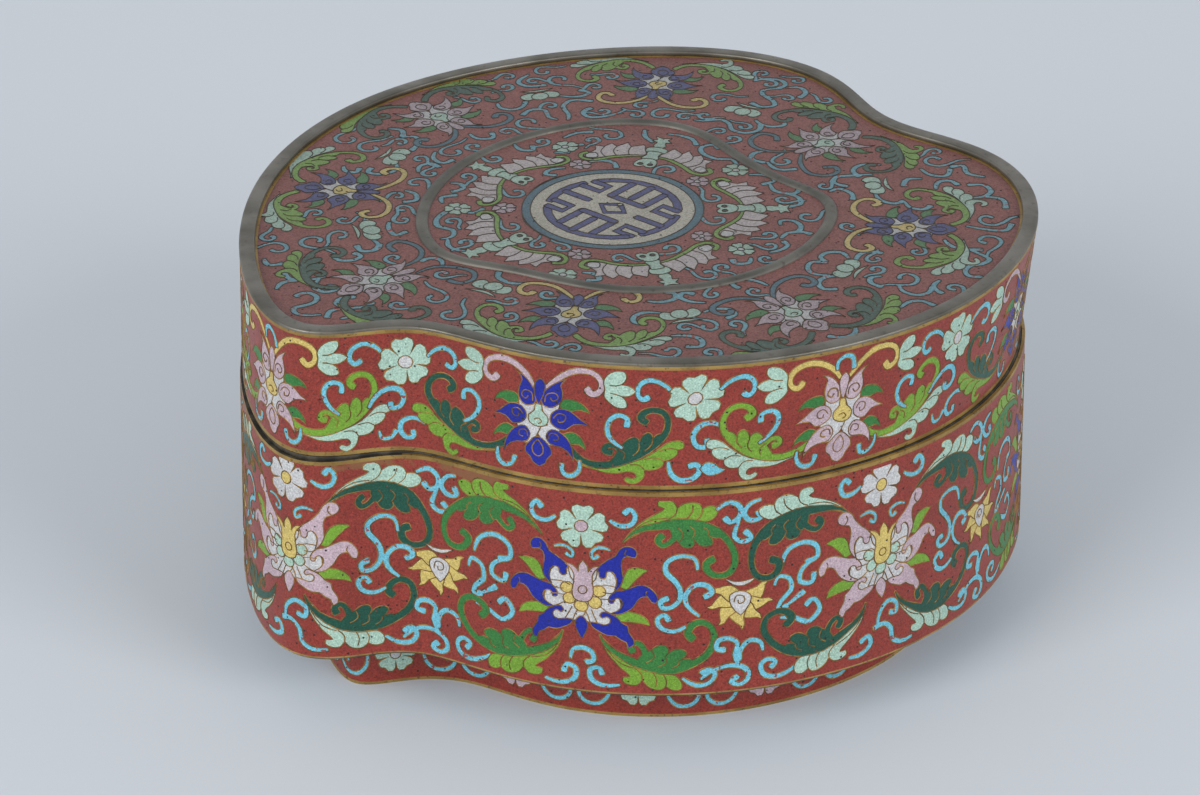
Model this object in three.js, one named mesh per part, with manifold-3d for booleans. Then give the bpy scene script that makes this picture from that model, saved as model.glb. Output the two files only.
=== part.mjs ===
// A lidded cloisonne enamel box, after a traditional lobed form: two full lobes meet at two soft
// notches. Enamelled copper base and lid, bronze rims, and a low enamelled ring underneath.
// Millimetres, +Z up, standing on the plane z = 0, centred on the Z axis.
import * as THREE from "three";
import { mergeVertices } from "three/addons/utils/BufferGeometryUtils.js";
import Module from "manifold-3d";

const wasm = await Module();
wasm.setup();

// ---- driving dimensions ----

// Pull points of the closed cubic spline that is the plan of the lid, anticlockwise.
const PLAN = [
  [125, -16], [115, 29], [86, 46], [74, 60], [66, 91], [32, 114], [-30, 111], [-92, 75],
  [-121, 14], [-120, -49], [-105, -92], [-84, -93], [-63, -84], [-34, -108], [29, -116], [97, -80],
];
// The same for the crest of the moulding round the centre field of the lid.
const FIELD = [
  [61, -3], [45, 8], [29, 29], [17, 54], [-19, 56], [-55, 30],
  [-69, -10], [-62, -44], [-38, -48], [-10, -66], [26, -61], [53, -35],
];
const STEPS_PER_PULL = 8;

const HEIGHT = 128.5;
const WALL = 2.6;

const RIM_THICKNESS = 1.7;
const RIM_WIDTH = 5.6;
const RIM_ROUND = 0.45;
const LID_SIDE = 39.1;
const LID_TAPER = 0.992;
const LID_LEAN_X = -2.2;
const LID_UNDER_RIM = 0.3;

const FIT_GAP = 0.3;
const BASE_SPREAD = 1.017;
const BASE_SHIFT_X = -1.6;
const EDGE_ROUND = 0.8;
const LEDGE_THICKNESS = 1.4;
const LEDGE_INSET = 0.2;
const COLLAR_INSET = 5.4;
const COLLAR_THICKNESS = 1.2;
const COLLAR_HEIGHT = 8.0;

const FOOT_HEIGHT = 19.5;
const FOOT_SCALE = 0.89;
const FOOT_INSET = 8.0;
const FOOT_SHIFT_Y = -1.6;

const RIDGE_WIDTH = 5.0;
const RIDGE_HEIGHT = 1.1;
const RIDGE_SIDES = 8;

// Levels that follow from them.
const PANEL_Z = HEIGHT - RIM_THICKNESS;
const LID_FOOT_Z = PANEL_Z - LID_SIDE;
const LEDGE_Z = LID_FOOT_Z - FIT_GAP;
const BASE_TOP_Z = LEDGE_Z - LEDGE_THICKNESS;

const COLOURS = { enamel: 0x8c3f38, bronze: 0x6b675c };

// ---- plan curves ----

// Closed uniform cubic B-spline through the pull of its points, as an array of Vector2.
function closedSpline(pulls) {
  const curve = [];
  const count = pulls.length;
  for (let i = 0; i < count; i++) {
    const span = [0, 1, 2, 3].map((k) => pulls[(i + k) % count]);
    for (let j = 0; j < STEPS_PER_PULL; j++) {
      const t = j / STEPS_PER_PULL;
      const weights = [
        (1 - t) ** 3, 3 * t ** 3 - 6 * t ** 2 + 4, -3 * t ** 3 + 3 * t ** 2 + 3 * t + 1, t ** 3,
      ];
      const point = new THREE.Vector2();
      span.forEach(([x, y], k) => point.add(new THREE.Vector2(x, y).multiplyScalar(weights[k] / 6)));
      curve.push(point);
    }
  }
  return curve;
}

// The curve moved inwards by a distance, square to itself.
function inset(curve, distance) {
  return curve.map((point, i) => {
    const before = curve.at(i - 1);
    const after = curve[(i + 1) % curve.length];
    const along = after.clone().sub(before).normalize();
    return new THREE.Vector2(point.x - along.y * distance, point.y + along.x * distance);
  });
}

// The curve scaled about the centre of the plan and then moved.
function scaled(curve, factor, shiftX = 0, shiftY = 0) {
  return curve.map(({ x, y }) => new THREE.Vector2(x * factor + shiftX, y * factor + shiftY));
}

// ---- solids ----

function indexedGeometry(positions, triangles) {
  const geometry = new THREE.BufferGeometry();
  geometry.setAttribute("position", new THREE.Float32BufferAttribute(positions, 3));
  geometry.setIndex(triangles);
  return geometry;
}

// Triangles between loop number a and loop number b, both with the same count of points.
function bandTriangles(a, b, count) {
  const triangles = [];
  for (let i = 0; i < count; i++) {
    const j = (i + 1) % count;
    triangles.push(a * count + i, a * count + j, b * count + j);
    triangles.push(a * count + i, b * count + j, b * count + i);
  }
  return triangles;
}

const loopPositions = ({ loop, z }) => loop.flatMap(({ x, y }) => [x, y, z]);

// Solid through stacked loops, lowest first, closed by a flat cap at each end.
function stack(levels) {
  const count = levels[0].loop.length;
  const positions = levels.flatMap(loopPositions);
  const triangles = [];
  for (let k = 0; k + 1 < levels.length; k++) triangles.push(...bandTriangles(k, k + 1, count));
  const last = levels.length - 1;
  for (const [a, b, c] of THREE.ShapeUtils.triangulateShape(levels[0].loop, [])) {
    triangles.push(c, b, a);
  }
  for (const [a, b, c] of THREE.ShapeUtils.triangulateShape(levels[last].loop, [])) {
    triangles.push(last * count + a, last * count + b, last * count + c);
  }
  return indexedGeometry(positions, triangles);
}

// Ring whose cross-section, a list of [inset, z] turning from the outer face up and inwards,
// follows a plan curve.
function ring(curve, section) {
  const levels = section.map(([distance, z]) => ({ loop: inset(curve, distance), z }));
  const positions = levels.flatMap(loopPositions);
  const triangles = levels.flatMap((_, k) => bandTriangles(k, (k + 1) % levels.length, curve.length));
  return indexedGeometry(positions, triangles);
}

function toManifold(geometry) {
  const welded = geometry.clone();
  welded.deleteAttribute("normal");
  welded.deleteAttribute("uv");
  const merged = mergeVertices(welded);
  return new wasm.Manifold(new wasm.Mesh({
    numProp: 3,
    vertProperties: new Float32Array(merged.attributes.position.array),
    triVerts: new Uint32Array(merged.index.array),
  }));
}

function cut(solid, tool) {
  const { vertProperties, triVerts } = toManifold(solid).subtract(toManifold(tool)).getMesh();
  return indexedGeometry(Array.from(vertProperties), Array.from(triVerts));
}

// ---- the pieces ----

const plan = closedSpline(PLAN);
const baseTopPlan = scaled(plan, 1, BASE_SHIFT_X);
const baseFootPlan = scaled(plan, BASE_SPREAD, BASE_SHIFT_X);
const footPlan = inset(scaled(baseFootPlan, FOOT_SCALE, 0, FOOT_SHIFT_Y), FOOT_INSET);
const fieldCurve = closedSpline(FIELD);

// Low strip on edge that closes on itself: the ring the box stands on.
function footRing() {
  return ring(footPlan, [[0, 0], [0, FOOT_HEIGHT], [WALL, FOOT_HEIGHT], [WALL, 0]]);
}

// Open cup that spreads a little downwards, with a flat bottom and a softened lower edge.
function base() {
  const outside = stack([
    { loop: inset(baseFootPlan, EDGE_ROUND), z: FOOT_HEIGHT },
    { loop: inset(baseFootPlan, EDGE_ROUND * 0.3), z: FOOT_HEIGHT + EDGE_ROUND * 0.3 },
    { loop: baseFootPlan, z: FOOT_HEIGHT + EDGE_ROUND },
    { loop: baseTopPlan, z: BASE_TOP_Z },
  ]);
  const inside = stack([
    { loop: inset(baseFootPlan, WALL), z: FOOT_HEIGHT + WALL },
    { loop: inset(baseTopPlan, WALL), z: BASE_TOP_Z + WALL },
  ]);
  return cut(outside, inside);
}

// Flat ledge on the wall of the base, with a collar standing up inside the lid.
function baseRim() {
  const collarInside = COLLAR_INSET + COLLAR_THICKNESS;
  const collarTop = LEDGE_Z + COLLAR_HEIGHT;
  return ring(baseTopPlan, [
    [LEDGE_INSET, BASE_TOP_Z], [LEDGE_INSET, LEDGE_Z], [COLLAR_INSET, LEDGE_Z],
    [COLLAR_INSET, collarTop - EDGE_ROUND / 2], [COLLAR_INSET + EDGE_ROUND / 2, collarTop],
    [collarInside, collarTop], [collarInside, BASE_TOP_Z],
  ]);
}

// Cup turned over: it narrows a little towards its open edge, and its top is the sunk panel.
function lid() {
  const upper = inset(plan, LID_UNDER_RIM);
  const lower = scaled(upper, LID_TAPER, LID_LEAN_X);
  const outside = stack([{ loop: lower, z: LID_FOOT_Z }, { loop: upper, z: PANEL_Z }]);
  const inside = stack([
    { loop: inset(scaled(lower, 1, LID_LEAN_X * (WALL / LID_SIDE)), WALL), z: LID_FOOT_Z - WALL },
    { loop: inset(upper, WALL), z: PANEL_Z - WALL },
  ]);
  return cut(outside, inside);
}

// Bare strip laid on the edge of the panel, with its corners eased.
function lidRim() {
  return ring(plan, [
    [0, PANEL_Z], [0, HEIGHT - RIM_ROUND], [RIM_ROUND * 0.3, HEIGHT - RIM_ROUND * 0.3],
    [RIM_ROUND, HEIGHT], [RIM_WIDTH - RIM_ROUND, HEIGHT],
    [RIM_WIDTH - RIM_ROUND * 0.3, HEIGHT - RIM_ROUND * 0.3], [RIM_WIDTH, HEIGHT - RIM_ROUND],
    [RIM_WIDTH, PANEL_Z],
  ]);
}

// Half-round moulding that frames the centre field.
function medallionRidge() {
  const section = [];
  for (let k = 0; k <= RIDGE_SIDES; k++) {
    const turn = (Math.PI * k) / RIDGE_SIDES;
    section.push([-Math.cos(turn) * (RIDGE_WIDTH / 2), PANEL_Z + Math.sin(turn) * RIDGE_HEIGHT]);
  }
  return ring(fieldCurve, section);
}

// ---- the scene graph ----

const enamel = () => new THREE.MeshStandardMaterial({
  color: COLOURS.enamel, roughness: 0.3, metalness: 0,
});
const bronze = () => new THREE.MeshStandardMaterial({
  color: COLOURS.bronze, roughness: 0.45, metalness: 0.9,
});

const PIECES = [
  ["foot_ring", footRing, enamel],
  ["base", base, enamel],
  ["base_rim", baseRim, bronze],
  ["lid", lid, enamel],
  ["lid_rim", lidRim, bronze],
  ["medallion_ridge", medallionRidge, bronze],
];

const box = new THREE.Group();
for (const [name, shape, finish] of PIECES) {
  const mesh = new THREE.Mesh(shape(), finish());
  mesh.name = name;
  box.add(mesh);
}

// The origin is under the middle of the whole box, seen from above.
const middle = new THREE.Box3().setFromObject(box, true).getCenter(new THREE.Vector3());
box.position.set(-middle.x, -middle.y, 0);

export default box;
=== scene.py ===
"""Lidded cloisonne enamel box: a wired and enamelled base and lid with bronze rims on a low ring.

Every band of enamel is first drawn flat, in millimetres, as cells of colour. The flat drawing is cut
into triangles along the cells' edges and laid on the wall or the lid, and a gilt wire follows each edge.
"""

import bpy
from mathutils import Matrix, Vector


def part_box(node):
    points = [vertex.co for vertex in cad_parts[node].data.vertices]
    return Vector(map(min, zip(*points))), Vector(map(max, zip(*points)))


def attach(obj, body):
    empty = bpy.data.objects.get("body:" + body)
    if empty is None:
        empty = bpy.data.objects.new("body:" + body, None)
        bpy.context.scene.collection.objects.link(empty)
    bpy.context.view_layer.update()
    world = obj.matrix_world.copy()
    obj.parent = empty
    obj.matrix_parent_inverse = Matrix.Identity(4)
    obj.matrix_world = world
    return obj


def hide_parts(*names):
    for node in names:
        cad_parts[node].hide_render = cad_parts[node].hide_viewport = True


bl_info = {
    "name": "Cloisonne Box",
    "version": (1, 0, 0),
    "blender": (4, 5, 0),
    "location": "View3D > Sidebar > Box",
    "description": "Builds a lidded cloisonne enamel box round its solid model",
    "category": "Add Mesh",
}

from math import atan2, ceil, cos, degrees, exp, hypot, pi, radians, sin

import bmesh
import bpy
from mathutils import Vector
from mathutils.geometry import delaunay_2d_cdt

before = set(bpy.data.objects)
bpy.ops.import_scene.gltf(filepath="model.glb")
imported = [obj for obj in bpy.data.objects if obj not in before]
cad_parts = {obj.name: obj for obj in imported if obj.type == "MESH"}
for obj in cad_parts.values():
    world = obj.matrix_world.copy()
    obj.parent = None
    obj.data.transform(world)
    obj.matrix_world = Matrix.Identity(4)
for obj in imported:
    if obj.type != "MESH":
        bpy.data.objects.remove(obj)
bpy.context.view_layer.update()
MM = 0.001


def level(node, end):
    """Lowest or highest level of a solid, in millimetres."""
    return round(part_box(node)[end][2] / MM, 3)


# ---------------------------------------------------------------- shape of the box, millimetres

# Pull points of the closed cubic splines for the plan of the lid and the crest of its inner moulding.
PLAN = [(125, -16), (115, 29), (86, 46), (74, 60), (66, 91), (32, 114), (-30, 111), (-92, 75),
        (-121, 14), (-120, -49), (-105, -92), (-84, -93), (-63, -84), (-34, -108), (29, -116), (97, -80)]
FIELD = [(61, -3), (45, 8), (29, 29), (17, 54), (-19, 56), (-55, 30),
         (-69, -10), (-62, -44), (-38, -48), (-10, -66), (26, -61), (53, -35)]
STEPS_PER_PULL = 20

FOOT_TOP = level("foot_ring", 1)
BASE_TOP = level("base", 1)
LID_FOOT = level("lid", 0)
PANEL = level("lid", 1)
TOP = level("lid_rim", 1)

WALL = 2.6
RIM_WIDTH = 4.7

# How the lid, the base and the foot depart from the plan of the lid's top.
LID_TAPER, LID_LEAN_X, LID_UNDER_RIM = 0.992, -2.2, 0.3
BASE_SPREAD, BASE_SHIFT_X = 1.017, -1.6
FOOT_SCALE, FOOT_INSET, FOOT_SHIFT_Y = 0.89, 8.0, -1.6

LEDGE_GAP, COLLAR_INSET, COLLAR_THICKNESS, COLLAR_RISE = 0.2, 5.4, 1.2, 8.0
RIDGE_HALF_WIDTH, RIDGE_HEIGHT, RIDGE_STEPS = 1.9, 1.1, 10
RIM_ROUNDING, LEDGE_ROUNDING = 0.7, 0.3

# Plain gilt borders: round the bands of the sides, under the lid's rim, and on the rim's own lowest part.
BAND, TOP_BAND, RIM_GILT = 1.3, 0.5, 0.8
# The base's chamfer underneath, and its lip, which rises where the lid closes on it.
CHAMFER, LIP_WIDTH, LIP_RISE, LIP_LAP, LIP_DIP = 0.8, 1.0, 1.25, 0.1, 0.05
# Where the seam gapes and how far the gap spreads, as shares of the way round the plan, and how nearly
# closed it is where the lip is gilt.
GAPING, GAPING_WIDTH, LIP_GILT_FROM = 0.60, 0.14, 0.6
# How far the top's drawing stops short of the rim, and how far loose wires stay off a band's border.
PANEL_MARGIN, WIRE_MARGIN = 0.7, 0.2
# Distance between the plain points that let a flat band bend.
GRID = 3.3


# ---------------------------------------------------------------- drawing

# A smooth line takes a step for so many degrees of turn and millimetres of length, up to a limit.
TURN_PER_STEP, LENGTH_PER_STEP, MOST_STEPS = 26, 6, 6
# A band's end is blunt if it is wider than twice the first number; the second is half its blunt angle.
BLUNT_FROM, BLUNT_ANGLE = 0.12, 0.8
NO_LENGTH = 1e-6


def pairs(loop):
    """Each item of a closed loop with the one after it."""
    return zip(loop, loop[1:] + loop[:1])


def apart(one, other):
    return hypot(other[0] - one[0], other[1] - one[1])


def hermite(f):
    """Weights of a start, its slope, an end and its slope, at a share f of the way between them."""
    return 2 * f ** 3 - 3 * f ** 2 + 1, f ** 3 - 2 * f ** 2 + f, -2 * f ** 3 + 3 * f ** 2, f ** 3 - f ** 2


def slopes(at, n, closed):
    """Slope of a smooth line at each of its points; at gives the point of a number."""
    found = []
    for i in range(n):
        (ax, ay), (bx, by), (cx, cy) = at(i - 1), at(i), at(i + 1)
        d1, d2 = hypot(bx - ax, by - ay) or NO_LENGTH, hypot(cx - bx, cy - by) or NO_LENGTH
        found.append((((bx - ax) / d1 * d2 + (cx - bx) / d2 * d1) / (d1 + d2),
                      ((by - ay) / d1 * d2 + (cy - by) / d2 * d1) / (d1 + d2)))
    if not closed:
        for end, near, way in ((0, 1, 1), (n - 1, n - 2, -1)):
            (ax, ay), (bx, by) = at(end), at(near)
            d = hypot(bx - ax, by - ay) or NO_LENGTH
            dx, dy = way * (bx - ax) / d, way * (by - ay) / d
            tx, ty = found[near]
            found[end] = (1.5 * dx - 0.5 * tx, 1.5 * dy - 0.5 * ty)
    return found


def run_through(points, closed):
    """Smooth line through one run of points, with more steps where it bends."""
    n = len(points)
    if n < 3 and not closed:
        return list(points)
    def at(i):
        return points[i % n] if closed else points[min(max(i, 0), n - 1)]
    tangents = slopes(at, n, closed)
    line = []
    for i in range(n if closed else n - 1):
        (ax, ay), (bx, by) = at(i), at(i + 1)
        (sx, sy), (tx, ty) = tangents[i], tangents[(i + 1) % n]
        d = hypot(bx - ax, by - ay)
        turn = abs((degrees(atan2(ty, tx) - atan2(sy, sx)) + 180) % 360 - 180)
        steps = max(1, min(MOST_STEPS, int(ceil(turn / TURN_PER_STEP + d / LENGTH_PER_STEP))))
        for k in range(steps):
            h1, h2, h3, h4 = hermite(k / steps)
            line.append((h1 * ax + h2 * d * sx + h3 * bx + h4 * d * tx,
                         h1 * ay + h2 * d * sy + h3 * by + h4 * d * ty))
    if not closed:
        line.append(points[-1])
    return line


def smooth(points, closed=False):
    """Smooth line through given points; a point that is given twice is a corner."""
    runs, run = [], []
    for p in points:
        if run and p == run[-1]:
            runs.append(run)
            run = []
        run.append(p)
    runs.append(run)
    if closed and len(runs) == 1:
        return run_through(runs[0], True)
    if closed:
        runs[-1] = runs[-1] + runs[0]
        runs = runs[1:]
    line = []
    for r in runs:
        line += run_through(r, False)[0 if not line else 1:]
    return line[:-1] if closed else line


def ribbon(line, widths):
    """Outline of a band that follows a line; widths run from its start to its end."""
    reach = [0]
    for a, b in zip(line, line[1:]):
        reach.append(reach[-1] + apart(a, b))
    left, right = [], []
    last = len(line) - 1
    for i, (x, y) in enumerate(line):
        (ax, ay), (bx, by) = line[max(i - 1, 0)], line[min(i + 1, last)]
        d = hypot(bx - ax, by - ay) or NO_LENGTH
        f = reach[i] / reach[-1] * (len(widths) - 1)
        k = min(int(f), len(widths) - 2)
        w = (widths[k] * (1 - f + k) + widths[k + 1] * (f - k)) / 2
        ox, oy = -(by - ay) / d * w, (bx - ax) / d * w
        left.append((x + ox, y + oy))
        right.append((x - ox, y - oy))
    caps = []
    for (x, y), (ax, ay), w in ((line[-1], line[-2], widths[-1] / 2), (line[0], line[1], widths[0] / 2)):
        h = atan2(y - ay, x - ax)
        cap = [(x + w * cos(h + a), y + w * sin(h + a)) for a in (BLUNT_ANGLE, -BLUNT_ANGLE)]
        caps.append(cap if w > BLUNT_FROM else [])
    return left + caps[0] + right[::-1] + caps[1]


def circle(x, y, radius, count=10):
    angles = [2 * pi * k / count for k in range(count)]
    return [(x + radius * cos(a), y + radius * sin(a)) for a in angles]


MELTING = "+"    # after a colour: no wire where two such cells of one colour meet
TENDRIL_SHARES = (0.7, 0.95, 1.05, 1.1, 1.1, 1.0, 1.3)
# A curl's root, as how far back and away from its middle it lies, then its winding and its width.
CURL_ROOT = ((1.5, 1.75), (0.85, 1.2))
CURL_STEPS, CURL_TURN, CURL_SHRINK, CURL_WIDTH = 7, 48, 0.11, 1.4


class Design:
    """Cells of colour and loose wires, each drawn over the ones before it."""

    def __init__(self):
        self.cells, self.wires = [], []

    def cell(self, colour, *points):
        self.cells.append((colour, smooth(points, True)))

    def stroke(self, colour, widths, *points):
        self.cells.append((colour, ribbon(smooth(points), widths)))

    def tendril(self, *points, width=1.66):
        """Turquoise scroll: thinner at its root, and round at its end."""
        self.stroke("turquoise" + MELTING, [width * share for share in TENDRIL_SHARES], *points)

    def curl(self, x, y, turn, reach, side=1):
        """Turquoise scroll that winds in to x, y, with its root on a given bearing and a short tail."""
        out, along = radians(turn), radians(turn + side * 90)
        points = []
        for back, away in CURL_ROOT:
            points.append((x + reach * (away * cos(out) - back * cos(along)),
                           y + reach * (away * sin(out) - back * sin(along))))
        for k in range(CURL_STEPS):
            a, r = radians(turn + side * CURL_TURN * k), reach * (1 - CURL_SHRINK * k)
            points.append((x + r * cos(a), y + r * sin(a)))
        self.tendril(*points, width=CURL_WIDTH)

    def dot(self, colour, x, y, radius, count=10):
        self.cells.append((colour, circle(x, y, radius, count)))

    def wire(self, *points):
        self.wires.append(smooth(points))

    def place(self, other, x=0, y=0, turn=0, size=1.0, flip=1, stretch=1.0):
        c, s = cos(radians(turn)) * size, sin(radians(turn)) * size
        flip *= stretch
        def put(points):
            return [(x + c * flip * px - s * py, y + s * flip * px + c * py) for px, py in points]
        self.cells += [(colour, put(outline)) for colour, outline in other.cells]
        self.wires += [put(line) for line in other.wires]

    def both(self, other):
        """Places a right half and its mirror image."""
        self.place(other)
        self.place(other, flip=-1)


# ---------------------------------------------------------------- motifs

PETAL_EDGE = ((-0.5, 0.36), (-0.488, 0.6), (-0.462, 0.82), (-0.37, 0.97), (-0.19, 1.02),
              (0, 0.92), (0.19, 1.02), (0.37, 0.97), (0.462, 0.82), (0.488, 0.6))


def blossom(colour, heart, radius, petals=5, turn=90):
    """Round flower; each petal has a notch in its edge, and a narrow slit on either side."""
    d = Design()
    outline = []
    for k in range(petals):
        for f, r in PETAL_EDGE:
            a = radians(turn) + 2 * pi * (k + f) / petals
            outline.append((radius * r * cos(a), radius * r * sin(a)))
    d.cells.append((colour, outline))
    d.dot(heart, 0, 0, radius * 0.27)
    return d


def leaf_scroll(body, tip):
    """Acanthus leaf that rises to the right and curls over; its foot is at the origin."""
    d = Design()
    d.cell(tip, (0, 0), (0, 0), (2.2, 4), (5, 6.8), (8, 8.9), (10.4, 10.2), (11.5, 11.2), (9.8, 11.8),
           (9.8, 13.2), (12, 14), (14.2, 13.3), (15.1, 11.3), (15.1, 11.3), (16.8, 12.8), (19.2, 13.4),
           (21.6, 12.8), (22.5, 11.3), (22.5, 11.3), (24.8, 12), (26.8, 10.9), (26.6, 8.8), (24.6, 7),
           (16, 7), (8, 4.8))
    d.wire((15.1, 11.3), (14.6, 9.6), (12.4, 8))
    d.wire((19.6, 12.4), (19.4, 10.2), (17.6, 8))
    d.wire((22.5, 11.3), (22.3, 9.4), (20.8, 7.6))
    d.wire((3, 4.2), (7.4, 7.4), (12, 8.2))
    body += MELTING
    d.stroke(body, (2.6, 2.0, 1.7, 1.8, 2.4), (15.6, 5.4), (14, 2.2), (12.4, 0.2), (10.4, -0.6), (9.2, 0.8),
             (10.2, 2.4))
    d.cell(body, (12.4, 6), (13.2, 2.6), (15.2, 0.6), (15.2, 0.6), (16.4, -1), (18.6, -1.4), (19.9, 0.2),
           (19.4, 1.8), (19.4, 1.8), (20.8, -0.6), (23, -1.6), (25, -0.8), (24.7, 1), (23.8, 2), (23.8, 2),
           (26, 0.8), (27.6, 1.2), (27.4, 2.8), (22, 5.6))
    d.wire((15.4, 0.8), (16.6, 3), (15, 5.2))
    d.wire((19.4, 1.8), (20.2, 3.8), (18.6, 5.4))
    d.wire((23.8, 2), (24, 3.4), (22.6, 4.8))
    d.stroke(body, (0.5, 1.6, 2.7, 3.2, 3.0, 2.3, 2.1, 2.0, 2.1, 2.7),
             (0, 0), (2.6, 3), (8.5, 5.4), (16.2, 6.5), (22.6, 5.4), (28, 1.8), (31, -3.2), (31.4, -7.4),
             (29.6, -10.8), (26.4, -11.6), (23.8, -9.8), (23.2, -7.2), (24.8, -6))
    return d


def lotus_petals(outer, inner, stretch):
    """Right half of the big lotus, its heart at the origin."""
    d = Design()
    k = stretch
    d.cell("lime", (10.6, 3.6), (12, 6.8), (13.2, 9), (15.6, 10), (19.2, 9.2), (19.2, 9.2), (17.6, 8),
           (16, 6.4), (14.4, 4.6), (12.6, 2.8))
    d.cell("lime", (9.6, -5.2), (13, -4.6), (16.2, -5.4), (18.4, -7.4), (19.2, -9.4), (19.2, -9.4),
           (16.4, -8.6), (13.4, -8.2), (9.8, -7.4))
    d.cell(inner, (0.4, -8.4), (0.6, 4), (2.4, 8.4), (4.6, 9), (7.4, 8.8), (9.4, 7), (9.7, 4), (9.5, 1.5),
           (10.6, -0.6), (11, -3.4), (9.6, -5.4), (9, -7.6), (6.8, -9.8), (3.4, -9.6))
    d.cell(outer, (4.4, 8.4), (6.1, 10.4), (7.8, 11.7), (10.1, 13.2 * k), (11, 15.2 * k), (13, 16.7 * k),
           (14.9, 16.2 * k), (15.8, 14.5 * k), (15.2, 13.1 * k), (13.8, 13.3), (12.4, 12.9), (11.6, 11.2),
           (11.6, 8.6), (11.8, 6.4), (10.9, 4), (9, 1.8), (9.7, 4.6), (9.4, 7.2), (8.2, 8.2), (7.1, 7.6),
           (6.9, 6.3), (6, 5.4), (5, 5.9), (4.9, 7.4))
    d.cell(outer, (9, 1.8), (11.3, 2.3), (13.5, 3.2), (16.1, 4.2), (18.7, 4), (20.7, 2.2), (21.6, -0.1),
           (21, -1.7), (19.6, -1.2), (18.9, 0.3), (17.2, 0.4), (15.8, -0.8), (14.7, -2.8), (13, -4.5),
           (10.7, -5.7), (8.2, -5.6), (10.2, -4.4), (11.3, -2.8), (11.1, -1.1), (9.9, -0.4), (8.9, -1),
           (8.6, -2.2), (7.5, -2.2), (7.2, -0.9), (8, 0.6))
    d.cell(outer, (2.4, -9.2), (4.6, -9), (6.6, -9.4), (8.1, -8.6), (8.1, -7.2), (7, -6.6), (5.8, -7.2),
           (5, -6.4), (5.8, -5.2), (8, -5.6), (10.1, -6.8), (11.5, -8.5), (13, -9.5), (13.4, -11.6),
           (14.9, -14), (15, -16), (13.6, -16.8), (12.8, -15), (11.3, -14.2), (9.8, -12.9), (7.6, -12.9),
           (5.2, -11.8), (3.2, -10.6))
    veins = (
        ((2.6, 3.4), (3.8, 5), (4.4, 8.4)), ((3.8, 2.4), (6.4, 3.4), (9.4, 3.2)),
        ((5.6, 1), (7.4, 0.8), (9, 1.4)), ((5, -1.2), (7.4, -1.2), (9.2, -1.4)),
        ((4.6, -3.4), (6.6, -4.8), (8.2, -5.6)), ((2.6, -4.8), (3.4, -6.8), (4.6, -9)),
        ((1, -5.4), (1.8, -7.2), (2.4, -9.2)),
        ((13, 15.4 * k), (12.6, 13.8 * k), (13.8, 13.3)), ((18.8, 2.4), (18.4, 1.2), (18.9, 0.3)),
    )
    for vein in veins:
        d.wire(*vein)
    return d


def lotus(outer, inner, crown, seeds, stretch=1.0):
    d = Design()
    d.both(lotus_petals(outer, inner, stretch))
    d.cell(outer, (0, -7.4), (1.8, -9.8), (1.6, -12), (0.1, -14.8), (0.1, -14.8), (-1.5, -12), (-1.9, -9.8))
    for x, y in ((-4.7, 1.5), (4.6, 1.2), (-3.6, -2.1), (3.5, -2.5), (-0.2, -4.1)):
        d.dot(seeds, x, y, 1.9)
    d.cell(crown, (0, -2.7), (2.3, -1.8), (3.1, 0.8), (2.8, 3.6), (2.8, 5.6), (3.6, 7.6), (5.3, 9.4),
           (5.3, 9.4), (3, 8.9), (1.5, 6.9), (1.5, 6.9), (1.5, 8.8), (0, 10.9), (0, 10.9), (-1.5, 8.8),
           (-1.5, 6.9), (-1.5, 6.9), (-3, 8.9), (-5.3, 9.4), (-5.3, 9.4), (-3.6, 7.6), (-2.8, 5.6),
           (-2.8, 3.6), (-3.1, 0.8), (-2.3, -1.8))
    d.wires.append(circle(0, 1.2, 1.3) + circle(0, 1.2, 1.3)[:1])
    return d


def bud():
    d = Design()
    d.cell("white", (-4.8, 7.4), (-4.8, 7.4), (-2.4, 5.2), (0.8, 4.8), (4.6, 7), (4.6, 7), (1, 6.3),
           (-2.4, 6.4))
    petal = Design()
    petal.cell("yellow", (1.2, -1.9), (3.4, -2.7), (5.6, -2.4), (7.2, -1), (8.6, 0.8), (10.2, 1.3),
               (10.2, 1.3), (8.2, 2.2), (6, 1.7), (3.6, 2.1), (1.2, 1.9))
    for turn in (26, -16, -56, -94, -136, -178, -216):
        d.place(petal, turn=turn, size=0.96)
    d.cell("white", (-2.9, 1.8), (0, 3.2), (3, 1.6), (2.8, -1.4), (0.4, -5), (0.4, -5), (-2.3, -1.6))
    d.wire((-1.5, -0.6), (-0.9, 1.6), (1.1, 1.2), (1.2, -0.6), (-0.1, -1.1), (-0.4, 0.1))
    return d


# ---------------------------------------------------------------- side of the base

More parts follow.
